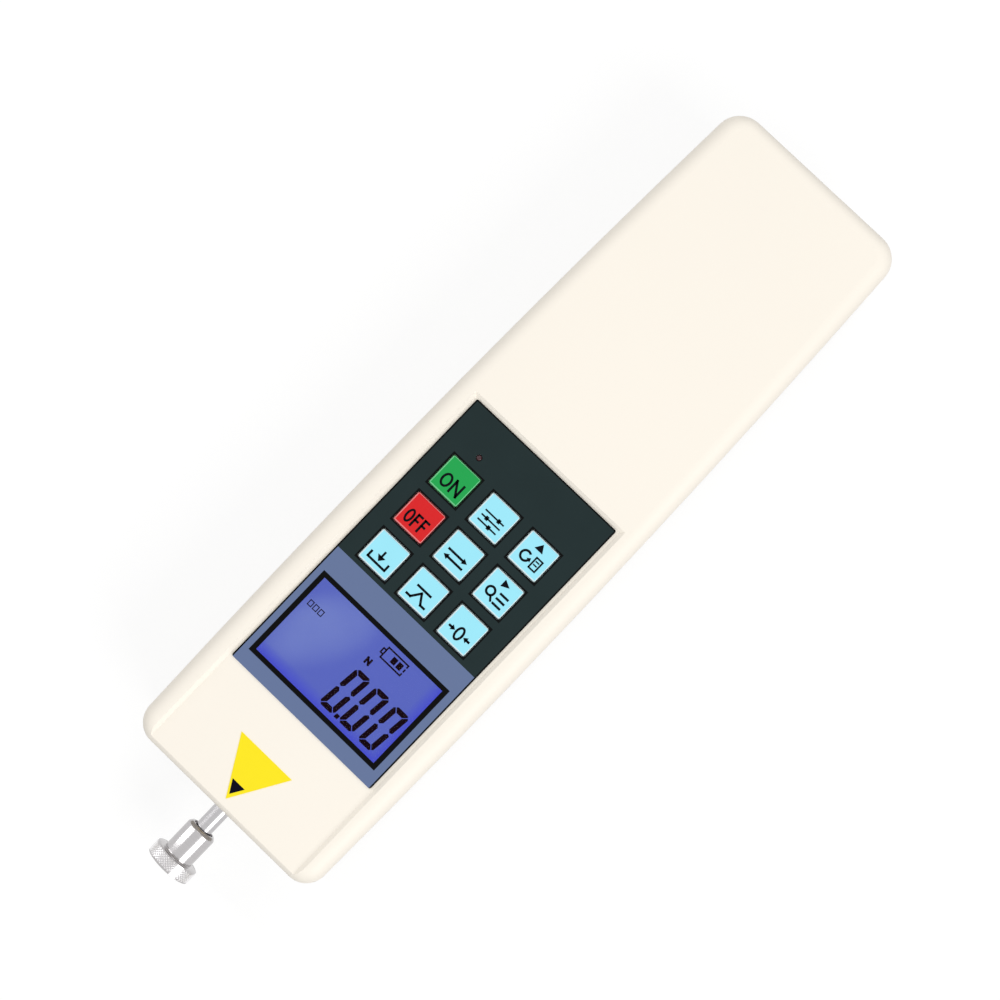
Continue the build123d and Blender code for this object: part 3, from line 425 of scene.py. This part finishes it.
pen = 0.66
slider_pen = 0.46
box_pen = 0.48
list_pen = 0.4
short_pen = 0.6
lens_grip_pen = 0.62
mark_y = -1.3
letter_half = 1.78
letter_round = 1.75
letter_n = bars(
    [(-1.2, -letter_half), (-1.2, letter_half), (1.2, -letter_half), (1.2, letter_half)], pen
)
letter_f = bars([(-0.6, -letter_half), (-0.6, letter_half), (0.65, letter_half)], pen)
letter_f += bars([(-0.6, 0.1), (0.4, 0.1)], pen)
slider_knob = [[(-0.48, -0.62), (0.48, -0.62), (0.48, 0.62), (-0.48, 0.62)]]
up_mark = [[(-1.4, 1.85), (1.4, 1.85), (0, 4.05)]]
right_mark = [[(-0.9, 1.75), (1.4, 2.9), (-0.9, 4.05)]]
key_marks = {
    "key_on": arc((-1.75, mark_y), 1.25, letter_round, pen, 0, 360, 32)
    + moved(letter_n, 1.8, mark_y),
    "key_off": arc((-2.3, mark_y), 0.85, letter_round, pen, 0, 360, 32)
    + moved(letter_f, 0.1, mark_y)
    + moved(letter_f, 2.45, mark_y),
    "key_set": sum(
        (
            bars([(-3.05, y), (3.05, y)], slider_pen) + moved(slider_knob, x, y)
            for x, y in ((1.5, 0.25), (-1.4, -1.3), (0.6, -2.85))
        ),
        [],
    ),
    "key_up": up_mark
    + arc((-1.65, mark_y), 1.4, 1.4, pen, 50, 340)
    + [[(0.01, -0.84), (-1.04, -1.52), (0.37, -2.04)]]
    + bars([(0.95, -2.95), (0.95, 0.35), (3.05, 0.35), (3.05, -2.95), (0.95, -2.95)], box_pen)
    + bars([(1.55, -0.55), (2.45, -0.55)], list_pen)
    + bars([(1.55, -1.55), (2.45, -1.55)], list_pen),
    "key_unit": bars([(-3.0, -0.35), (1.9, -0.35)], pen)
    + [[(1.8, -1.2), (3.3, -0.35), (1.8, 0.5)]]
    + bars([(-1.9, -2.25), (3.0, -2.25)], pen)
    + [[(-1.8, -1.4), (-3.3, -2.25), (-1.8, -3.1)]],
    "key_right": right_mark
    + arc((-1.85, -0.85), 1.2, 1.2, pen, 0, 360, 28)
    + bars([(-0.95, -1.85), (-0.15, -2.85)], lens_grip_pen)
    + sum((bars([(0.75, y), (3.1, y)], pen) for y in (0.35, -1.25, -2.85)), []),
    "key_store": bars([(-3.0, -1.5), (-3.0, -3.05), (3.0, -3.05), (3.0, -1.5)], pen)
    + bars([(0, 0.55), (0, -1.0)], short_pen)
    + [[(-1.3, -0.75), (0, -2.35), (1.3, -0.75)]],
    "key_peak": bars([(-3.1, -3.05), (-1.8, -3.05), (0, -0.5), (1.8, -3.05), (3.1, -3.05)], pen)
    + bars([(-2.2, 0.45), (2.2, 0.45)], pen),
    "key_zero": arc((0, mark_y), 1.0, letter_round, pen, 0, 360, 32)
    + bars([(-3.35, mark_y), (-2.6, mark_y)], pen)
    + [[(-2.7, -2.15), (-1.5, mark_y), (-2.7, -0.45)]]
    + bars([(2.6, mark_y), (3.35, mark_y)], pen)
    + [[(2.7, -0.45), (1.5, mark_y), (2.7, -2.15)]],
}
black_ink = finish(
    "key_ink", linear(12, 14, 20), 0.5, mottle=0.2, patch=0.002, grain=0.0002, depth=0.000002,
    specular=0.04,
)
for name, outlines in key_marks.items():
    middle_x, middle_y = (v * 1000 for v in key_spots[name])
    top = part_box(name)[1].z * 1000
    plates(name + "_mark", moved(outlines, middle_x, middle_y), top, black_ink, name)

# Display frame and window: a black moulded frame with a clear acrylic window behind its lip. The
# window's index is set low, so that it barely mirrors the room over the lit display.
bezel_black = finish(
    "bezel_black", linear(9, 9, 9), 0.4, mottle=0.1, patch=0.004, grain=0.0003, depth=0.000004,
    specular=0.05,
)
dress(bezel_black, "display_bezel")

window_index = 1.06
window_clear = finish(
    "window_clear", (0.97, 0.98, 1.0, 1), 0.02, mottle=0.004, patch=0.02, grain=0.004,
    depth=0.0000004, swing=0.01, specular=0.06,
)
window_shader = window_clear.node_tree.nodes["Principled BSDF"]
window_shader.inputs["Transmission Weight"].default_value = 1.0
window_shader.inputs["IOR"].default_value = window_index
dress(window_clear, "display_window")

# Display cell: a glass cell behind the window, lit in blue by the light guide under it. It is
# paler in a leaning patch at its left, and deeper along its right and lower edges.
lit_low = Vector((-21.8, -43.05)) * millimetre
lit_high = Vector((21.1, -17.15)) * millimetre
edge_glow_width = 3.4 * millimetre
cloud_scale = 70.0
cloud_detail = 1.5
cloud_floor = 0.4
cell_light = 0.89
lit_cell = finish(
    "display_cell", linear(6, 8, 22), 0.5, mottle=0.03, patch=0.01, grain=0.0003, depth=0.000001,
    specular=0.0,
)
nodes, links = lit_cell.node_tree.nodes, lit_cell.node_tree.links
across, along, _ = axes_of(lit_cell)
edge_glow = reckon(
    lit_cell,
    "MINIMUM",
    reckon(lit_cell, "SUBTRACT", lit_high.x, across),
    reckon(lit_cell, "SUBTRACT", along, lit_low.y),
)
glow_share = nodes.new("ShaderNodeMapRange")
glow_share.inputs["From Min"].default_value = 0.0
glow_share.inputs["From Max"].default_value = edge_glow_width
glow_share.inputs["To Min"].default_value = 1.0
glow_share.inputs["To Max"].default_value = 0.0
links.new(edge_glow, glow_share.inputs["Value"])
cloud = nodes.new("ShaderNodeTexNoise")
cloud.inputs["Scale"].default_value = cloud_scale
cloud.inputs["Detail"].default_value = cloud_detail
links.new(nodes["Texture Coordinate"].outputs["Object"], cloud.inputs["Vector"])
pale_spot = (-13.0 * millimetre, -27.5 * millimetre)
pale_length = 15.0 * millimetre
pale_breadth = 8.5 * millimetre
pale_lean = math.radians(58)
pale_reach = 1.6


def pale_part(lengthwise, crosswise, size):
    """Square of the distance from the middle of the pale patch along one of its own two axes."""
    from_spot_x = reckon(lit_cell, "SUBTRACT", across, pale_spot[0])
    from_spot_y = reckon(lit_cell, "SUBTRACT", along, pale_spot[1])
    share_x = reckon(lit_cell, "MULTIPLY", from_spot_x, lengthwise)
    share_y = reckon(lit_cell, "MULTIPLY", from_spot_y, crosswise)
    away = reckon(lit_cell, "DIVIDE", reckon(lit_cell, "ADD", share_x, share_y), size)
    return reckon(lit_cell, "POWER", away, 2.0)


patch_away = reckon(
    lit_cell,
    "ADD",
    pale_part(math.cos(pale_lean), math.sin(pale_lean), pale_length),
    pale_part(-math.sin(pale_lean), math.cos(pale_lean), pale_breadth),
)
pale_share = nodes.new("ShaderNodeMapRange")
pale_share.interpolation_type = "SMOOTHSTEP"
pale_share.inputs["From Min"].default_value = 0.0
pale_share.inputs["From Max"].default_value = pale_reach
pale_share.inputs["To Min"].default_value = 1.0
pale_share.inputs["To Max"].default_value = 0.0
links.new(patch_away, pale_share.inputs["Value"])
cloud_share = reckon(lit_cell, "ADD", cloud.outputs["Fac"], cloud_floor)
pale_share = reckon(lit_cell, "MULTIPLY", pale_share.outputs[0], cloud_share)
blue = nodes.new("ShaderNodeMix")
blue.data_type = "RGBA"
blue.inputs["A"].default_value = linear(96, 109, 199)
blue.inputs["B"].default_value = linear(119, 134, 207)
links.new(pale_share, blue.inputs["Factor"])
bright = nodes.new("ShaderNodeMix")
bright.data_type = "RGBA"
links.new(glow_share.outputs[0], bright.inputs["Factor"])
links.new(blue.outputs["Result"], bright.inputs["A"])
bright.inputs["B"].default_value = linear(78, 85, 212)
links.new(bright.outputs["Result"], nodes["Principled BSDF"].inputs["Emission Color"])
nodes["Principled BSDF"].inputs["Emission Strength"].default_value = cell_light
links.new(nodes["tone"].outputs["Result"], nodes["Principled BSDF"].inputs["Base Color"])
dress(lit_cell, "display_glass")

# Reading: dark liquid crystal segments on the cell's upper face, a slanted 0.00 with the newton
# sign, a battery with two bars and three small memory boxes. Fine diagonal gaps part the segments
# at a digit's corners. The crystal lets a little of the backlight through.
digit_height = 13.6
digit_width = 5.2
digit_slant = 0.105
segment_width = 1.5
segment_gap = 0.14
segment_corner = 0.8
middle_gap = 0.2
digit_feet = (2.0, 9.0, 16.05)
digit_base = -41.8
point_foot = (5.0, 6.2)
point_top = (5.13, 6.33)
point_height = 1.25
newton_left, newton_right = 1.0, 2.2
newton_low, newton_high = -25.85, -24.35
newton_pen = 0.6
battery_left, battery_right = 3.1, 10.2
battery_low, battery_high = -22.1, -18.7
battery_pen = 0.44
battery_dash = 0.6
knob_root, knob_end = 2.95, 2.2
knob_low, knob_high = -21.1, -19.7
level_lefts = (5.75, 7.75)
level_width = 1.55
level_low, level_high = -21.35, -19.45
memory_lefts = (-20.5, -18.65, -16.8)
memory_width = 1.2
memory_low, memory_high = -25.4, -23.9
memory_pen = 0.26


def leaning(outlines, foot_x, foot_y):
    """Slants a digit drawn upright and stands it on its foot."""
    return [
        [(foot_x + x + digit_slant * y, foot_y + y) for x, y in outline] for outline in outlines
    ]


edge, half = digit_width / 2, digit_height / 2
end_bar = [
    (segment_gap + segment_corner - edge, digit_height),
    (segment_gap + segment_corner / 2 - edge, digit_height - segment_corner / 2),
    (segment_gap + segment_width - edge, digit_height - segment_width),
    (edge - segment_width - segment_gap, digit_height - segment_width),
    (edge - segment_corner / 2 - segment_gap, digit_height - segment_corner / 2),
    (edge - segment_corner - segment_gap, digit_height),
]
side_bar = [
    (-edge, digit_height - segment_gap - segment_corner),
    (segment_corner / 2 - edge, digit_height - segment_gap - segment_corner / 2),
    (segment_width - edge, digit_height - segment_gap - segment_width),
    (segment_width - edge, half + middle_gap + segment_width / 2),
    (segment_width / 2 - edge, half + middle_gap),
    (-edge, half + middle_gap + segment_width / 4),
]
nought = [end_bar, side_bar, [(-x, y) for x, y in side_bar]]
nought += [[(x, digit_height - y) for x, y in outline] for outline in nought]
reading = sum((leaning(nought, foot, digit_base) for foot in digit_feet), [])
point_high = digit_base + point_height
reading += [
    [
        (point_foot[0], digit_base), (point_foot[1], digit_base),
        (point_top[1], point_high), (point_top[0], point_high),
    ]
]
reading += bars(
    [
        (newton_left, newton_low), (newton_left, newton_high),
        (newton_right, newton_low), (newton_right, newton_high),
    ],
    newton_pen,
)
battery_middle = (battery_low + battery_high) / 2
reading += bars(
    [
        (battery_left, battery_low), (battery_left, battery_high),
        (battery_right, battery_high), (battery_right, battery_high - battery_dash),
    ],
    battery_pen,
)
reading += bars(
    [
        (battery_left, battery_low), (battery_right, battery_low),
        (battery_right, battery_low + battery_dash),
    ],
    battery_pen,
)
reading += bars(
    [
        (battery_right, battery_middle + battery_dash / 2),
        (battery_right, battery_middle - battery_dash / 2),
    ],
    battery_pen,
)
reading += bars(
    [(knob_root, knob_high), (knob_end, knob_high), (knob_end, knob_low), (knob_root, knob_low)],
    battery_pen,
)


def block(left, low, right, high):
    """Corners of an upright block."""
    return [(left, low), (right, low), (right, high), (left, high)]


reading += [block(left, level_low, left + level_width, level_high) for left in level_lefts]
for left in memory_lefts:
    right = left + memory_width
    reading += bars(
        [
            (left, memory_low), (left, memory_high), (right, memory_high), (right, memory_low),
            (left, memory_low),
        ],
        memory_pen,
    )
crystal = finish(
    "crystal", linear(6, 4, 6), 0.6, mottle=0.12, patch=0.003, grain=0.0002, depth=0.000001,
    specular=0.0,
)
crystal_shader = crystal.node_tree.nodes["Principled BSDF"]
crystal_shader.inputs["Emission Color"].default_value = linear(26, 12, 20)
crystal_shader.inputs["Emission Strength"].default_value = 0.8
cell_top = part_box("display_glass")[1].z * 1000
plates("display_reading", reading, cell_top, crystal, "case")

# Status lamp: a small light-emitting diode with a dark red lens, unlit. It shows through a hole
# in the overlay, above the green key.
lens_depth = 0.2
lens_red = finish(
    "lamp_red", linear(62, 22, 30), 0.25, mottle=0.15, patch=0.0008, grain=0.0004, depth=0.000002
)
lens_shader = lens_red.node_tree.nodes["Principled BSDF"]
lens_shader.inputs["Subsurface Weight"].default_value = lens_depth
dress(lens_red, "status_lamp")

# Pointer sticker: yellow film with a printed black tip, cut to a triangle that points at the
# shaft, and stuck to the floor of the case's channel.
tip_corners = [(-2.75, -71.4), (-0.55, -75.0), (1.65, -71.4)]
film = finish(
    "sticker_film", linear(254, 232, 8), 0.34, mottle=0.015, patch=0.006, grain=0.0005,
    depth=0.000002, specular=0.35,
)
dress(film, "pointer_sticker")
tip_ink = finish(
    "tip_ink", linear(10, 9, 24), 0.42, mottle=0.2, patch=0.002, grain=0.0002, depth=0.000002,
    specular=0.04,
)
sticker_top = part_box("pointer_sticker")[1].z * 1000
plates("pointer_mark", [tip_corners], sticker_top, tip_ink, "case")

# Shaft and its nut: ground steel, with the fine rings that grinding leaves. The shaft slides in
# the guide bush, and the nut locks its stud to the load cell.
ground_steel = finish(
    "ground_steel", (0.52, 0.51, 0.52, 1), 0.2, metallic=1.0, mottle=0.1, patch=0.004,
    grain=0.0006, depth=0.000004, stretch=(0.25, 12, 0.25), swing=0.08,
)
dress(ground_steel, "force_shaft", "lock_nut")

# Flat head: turned from steel bar, knurled with crossed grooves on its rim and nickel-plated. Its
# neck is counterbored, so a dark ring shows where it seats on the shaft's shoulder.
axis_height = 0.018
head_profile = [
    (0.0, -103.5), (6.55, -103.5), (6.8, -103.38), (6.8, -103.2), (6.72, -103.12),
    (6.72, -99.88), (6.8, -99.8), (6.8, -99.62), (6.55, -99.5), (4.62, -99.5),
    (4.5, -99.38), (4.5, -90.5), (4.42, -90.26), (3.85, -89.58), (3.65, -89.5),
    (3.2, -89.5), (3.2, -90.4), (2.05, -90.4), (2.05, -99.9), (0.0, -99.9),
]
head_steps = 96
head_edge = math.radians(32)


def turned(name, profile, steps):
    """Closed mesh of a profile turned round the shaft. Each of its points is a radius and a place
    along the shaft, in millimetres."""
    build = bmesh.new()
    angles = [2 * math.pi * k / steps for k in range(steps)]
    rings = []
    for radius, place in profile:
        if radius == 0:
            rings.append([build.verts.new((0, place / 1000, axis_height))] * steps)
            continue
        spots = [
            (
                radius / 1000 * math.cos(angle),
                place / 1000,
                axis_height + radius / 1000 * math.sin(angle),
            )
            for angle in angles
        ]
        rings.append([build.verts.new(spot) for spot in spots])
    for ring, following in zip(rings, rings[1:]):
        for k in range(steps):
            after = (k + 1) % steps
            corners = list(dict.fromkeys((ring[k], ring[after], following[after], following[k])))
            if len(corners) > 2:
                build.faces.new(corners)
    bmesh.ops.recalc_face_normals(build, faces=build.faces)
    mesh = bpy.data.meshes.new(name)
    build.to_mesh(mesh)
    build.free()
    piece = bpy.data.objects.new(name, mesh)
    scene.collection.objects.link(piece)
    return piece


plated = finish(
    "plated_steel", (0.52, 0.505, 0.51, 1), 0.18, metallic=1.0, mottle=0.08, patch=0.003,
    grain=0.0005, depth=0.000003, stretch=(0.3, 10, 0.3), swing=0.07,
)
head = turned("flat_head_turned", head_profile, head_steps)
head.data.materials.append(plated)
for polygon in head.data.polygons:
    polygon.use_smooth = True
head.data.set_sharp_from_angle(angle=head_edge)
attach(head, "head")
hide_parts("flat_head")

# The knurl: rows of small four-sided points, each row set half a step round from the last, which
# is what two crossed sets of rolled grooves leave standing.
knurl_around = 44
knurl_rows = 7
knurl_radius = 0.00665
knurl_height = 0.00034
knurl_row_step = 0.00042
knurl_first_row = -0.10276
knurl = bpy.data.node_groups.new("knurl", "GeometryNodeTree")
for label, kind in (
    ("Geometry", "Geometry"), ("Around", "Int"), ("Rows", "Int"), ("Radius", "Float"),
    ("Height", "Float"), ("Row step", "Float"), ("First row", "Float"),
    ("Axis height", "Float"), ("Finish", "Material"),
):
    knurl.interface.new_socket(label, in_out="INPUT", socket_type="NodeSocket" + kind)
knurl.interface.new_socket("Geometry", in_out="OUTPUT", socket_type="NodeSocketGeometry")
kn, kl = knurl.nodes, knurl.links
given = kn.new("NodeGroupInput").outputs


def knurl_step(operation, first, second=None):
    """One arithmetic step of the knurl's tree."""
    step = kn.new("ShaderNodeMath")
    step.operation = operation
    for socket, value in zip(step.inputs, (first, second)):
        if value is None:
            continue
        if isinstance(value, (int, float)):
            socket.default_value = value
        else:
            kl.new(value, socket)
    return step.outputs[0]


order = kn.new("GeometryNodeInputIndex").outputs[0]
row = knurl_step("FLOOR", knurl_step("DIVIDE", order, given["Around"]))
column = knurl_step("SUBTRACT", order, knurl_step("MULTIPLY", row, given["Around"]))
half_step = knurl_step("MULTIPLY", knurl_step("MODULO", row, 2.0), 0.5)
turn_step = knurl_step("DIVIDE", 2 * math.pi, given["Around"])
angle = knurl_step("MULTIPLY", knurl_step("ADD", column, half_step), turn_step)
sideways = knurl_step("MULTIPLY", knurl_step("COSINE", angle), given["Radius"])
upwards = knurl_step("MULTIPLY", knurl_step("SINE", angle), given["Radius"])
lengthways = knurl_step("MULTIPLY", row, given["Row step"])
spot = kn.new("ShaderNodeCombineXYZ")
kl.new(sideways, spot.inputs["X"])
kl.new(knurl_step("ADD", given["First row"], lengthways), spot.inputs["Y"])
kl.new(knurl_step("ADD", given["Axis height"], upwards), spot.inputs["Z"])
spots = kn.new("GeometryNodePoints")
kl.new(knurl_step("MULTIPLY", given["Around"], given["Rows"]), spots.inputs["Count"])
kl.new(spot.outputs[0], spots.inputs["Position"])
point = kn.new("GeometryNodeMeshCone")
point.inputs["Vertices"].default_value = 4
point.inputs["Radius Top"].default_value = 0.0
point.inputs["Radius Bottom"].default_value = 1.0
point.inputs["Depth"].default_value = 1.0
facing = kn.new("ShaderNodeCombineXYZ")
kl.new(knurl_step("SUBTRACT", math.pi / 2, angle), facing.inputs["Y"])
point_pitch = knurl_step("MULTIPLY", turn_step, given["Radius"])
span = kn.new("ShaderNodeCombineXYZ")
kl.new(knurl_step("MULTIPLY", point_pitch, 0.5), span.inputs["X"])
kl.new(given["Row step"], span.inputs["Y"])
kl.new(given["Height"], span.inputs["Z"])
stand = kn.new("GeometryNodeInstanceOnPoints")
kl.new(spots.outputs[0], stand.inputs["Points"])
kl.new(point.outputs["Mesh"], stand.inputs["Instance"])
kl.new(facing.outputs[0], stand.inputs["Rotation"])
kl.new(span.outputs[0], stand.inputs["Scale"])
real = kn.new("GeometryNodeRealizeInstances")
kl.new(stand.outputs[0], real.inputs[0])
coat = kn.new("GeometryNodeSetMaterial")
kl.new(real.outputs[0], coat.inputs["Geometry"])
kl.new(given["Finish"], coat.inputs["Material"])
kl.new(coat.outputs[0], kn.new("NodeGroupOutput").inputs[0])


def grown(name, tree, values):
    """Runs a tree on an empty mesh with its inputs set, and returns the result as a plain piece."""
    seed = bpy.data.objects.new(name + "_seed", bpy.data.meshes.new(name + "_seed"))
    scene.collection.objects.link(seed)
    modifier = seed.modifiers.new("grow", "NODES")
    modifier.node_group = tree
    for item in tree.interface.items_tree:
        if item.item_type == "SOCKET" and item.in_out == "INPUT" and item.name in values:
            modifier[item.identifier] = values[item.name]
    bpy.context.view_layer.update()
    depsgraph = bpy.context.evaluated_depsgraph_get()
    mesh = bpy.data.meshes.new_from_object(seed.evaluated_get(depsgraph), depsgraph=depsgraph)
    mesh.name = name
    bpy.data.objects.remove(seed)
    piece = bpy.data.objects.new(name, mesh)
    scene.collection.objects.link(piece)
    return piece


# Painted light: the knurl's steel is the head's plating made much lighter, a lit copy standing in
# for the brighter light that the knurled rim catches.
knurled = finish(
    "knurled_steel_lit", (0.86, 0.85, 0.855, 1), 0.24, metallic=1.0, mottle=0.12, patch=0.001,
    grain=0.0002, depth=0.000003, swing=0.08,
)
knurl_points = grown(
    "flat_head_knurl",
    knurl,
    {
        "Around": knurl_around,
        "Rows": knurl_rows,
        "Radius": knurl_radius,
        "Height": knurl_height,
        "Row step": knurl_row_step,
        "First row": knurl_first_row,
        "Axis height": axis_height,
        "Finish": knurled,
    },
)
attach(knurl_points, "head")

# Guide bush and stand inserts: turned brass. The bush is held between the covers at the nose, and
# the threaded inserts sit in the rear cover.
brass = finish(
    "turned_brass", (0.72, 0.56, 0.26, 1), 0.28, metallic=1.0, mottle=0.1, patch=0.003,
    grain=0.0004, depth=0.000004, swing=0.08,
)
dress(brass, "guide_bush", "stand_inserts")

# Screws: zinc-plated steel, dull grey with a trace of blue. They hold the covers, the boards, the
# chassis plate and the bracket, and one bolt holds the load cell.
zinc = finish(
    "zinc_steel", (0.56, 0.57, 0.6, 1), 0.34, metallic=1.0, mottle=0.15, patch=0.002, grain=0.0004,
    depth=0.000006, swing=0.1,
)
dress(zinc, "case_screws", "chassis_screws", "bracket_screws", "board_screws")
dress(zinc, "socket_board_screws", "cell_bolt")

# Sockets in the tail: black moulded bodies on the socket board, one for charging, with a plated
# pin, and one for data.
pin_radius = 0.00105
charge_low, charge_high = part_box("charge_socket")
charge_x = (charge_low.x + charge_high.x) / 2
charge_z = (charge_low.z + charge_high.z) / 2
socket_black = finish(
    "socket_black", linear(26, 26, 28), 0.45, mottle=0.1, patch=0.003, grain=0.0003,
    depth=0.000005, specular=0.4,
)
dress(socket_black, "data_socket")
pin_black = socket_black.copy()
pin_black.name = "charge_black"
across, _, height = axes_of(pin_black)
off_x = reckon(pin_black, "POWER", reckon(pin_black, "SUBTRACT", across, charge_x), 2.0)
off_z = reckon(pin_black, "POWER", reckon(pin_black, "SUBTRACT", height, charge_z), 2.0)
off_pin = reckon(pin_black, "SQRT", reckon(pin_black, "ADD", off_x, off_z))
on_pin = reckon(pin_black, "LESS_THAN", off_pin, pin_radius)
print_over(pin_black, on_pin, (0.75, 0.72, 0.62, 1))
pin_shader = pin_black.node_tree.nodes["Principled BSDF"]
pin_black.node_tree.links.new(on_pin, pin_shader.inputs["Metallic"])
dress(pin_black, "charge_socket")

# Load cell, its bracket and the chassis plate: milled aluminium with the cutter's fine lines.
# Strain gauges of amber film are bonded to the cell.
milled = finish(
    "milled_aluminium", (0.77, 0.78, 0.79, 1), 0.36, metallic=1.0, mottle=0.06, patch=0.006,
    grain=0.0006, depth=0.000005, stretch=(14, 0.4, 0.4), swing=0.08,
)
dress(milled, "load_cell", "cell_bracket", "chassis_plate")
amber = finish(
    "gauge_film", linear(196, 128, 44), 0.3, mottle=0.1, patch=0.001, grain=0.0004, depth=0.000004,
    stretch=(0.3, 8, 1),
)
dress(amber, "strain_gauges")

# Circuit boards: green solder mask over copper runs, which show as slightly lighter lines. They
# carry black parts, the key switches with their plungers, and the display's light guide and pins.
run_scale = 260.0
run_gap = 0.03
run_share = 0.7
mask = finish(
    "solder_mask", linear(18, 92, 48), 0.3, mottle=0.2, patch=0.004, grain=0.0004, depth=0.000004
)
nodes, links = mask.node_tree.nodes, mask.node_tree.links
runs = nodes.new("ShaderNodeTexBrick")
runs.offset = 0.5
runs.inputs["Scale"].default_value = run_scale
runs.inputs["Mortar Size"].default_value = run_gap
links.new(nodes["Texture Coordinate"].outputs["Object"], runs.inputs["Vector"])
print_over(mask, reckon(mask, "MULTIPLY", runs.outputs["Fac"], run_share), linear(60, 140, 84))
dress(mask, "main_board", "socket_board")
chip = finish(
    "chip_black", linear(34, 34, 36), 0.5, mottle=0.12, patch=0.002, grain=0.0003, depth=0.000006
)
dress(chip, "board_components", "key_switches")
dress(chip, *(name + "_plunger" for name in key_places))
guide = finish(
    "light_guide", linear(228, 230, 232), 0.4, mottle=0.02, patch=0.004, grain=0.0005,
    depth=0.000004,
)
dress(guide, "display_backlight")
tinned = finish(
    "tinned_pins", (0.72, 0.72, 0.7, 1), 0.3, metallic=1.0, mottle=0.1, patch=0.001,
    grain=0.0003, depth=0.000002, swing=0.08,
)
dress(tinned, "display_pins")

# Battery pack and leads: steel cans in a blue shrink sleeve with a foam pad, and three leads in
# grey jackets.
can = finish(
    "cell_can", (0.66, 0.66, 0.68, 1), 0.3, metallic=1.0, mottle=0.1, patch=0.004, grain=0.0005,
    depth=0.000004, stretch=(1, 6, 1), swing=0.08,
)
dress(can, "battery_cells")
sleeve = finish(
    "shrink_sleeve", linear(24, 70, 160), 0.25, mottle=0.08, patch=0.008, grain=0.003,
    depth=0.00003,
)
dress(sleeve, "battery_sleeve")
foam = finish(
    "foam", linear(44, 44, 46), 0.9, mottle=0.3, patch=0.0015, grain=0.0007, depth=0.0001,
    specular=0.2,
)
dress(foam, "battery_pad")
jacket = finish(
    "lead_jacket", linear(70, 70, 74), 0.55, mottle=0.08, patch=0.003, grain=0.0004, depth=0.000006
)
dress(jacket, "cell_lead", "battery_lead", "socket_lead")
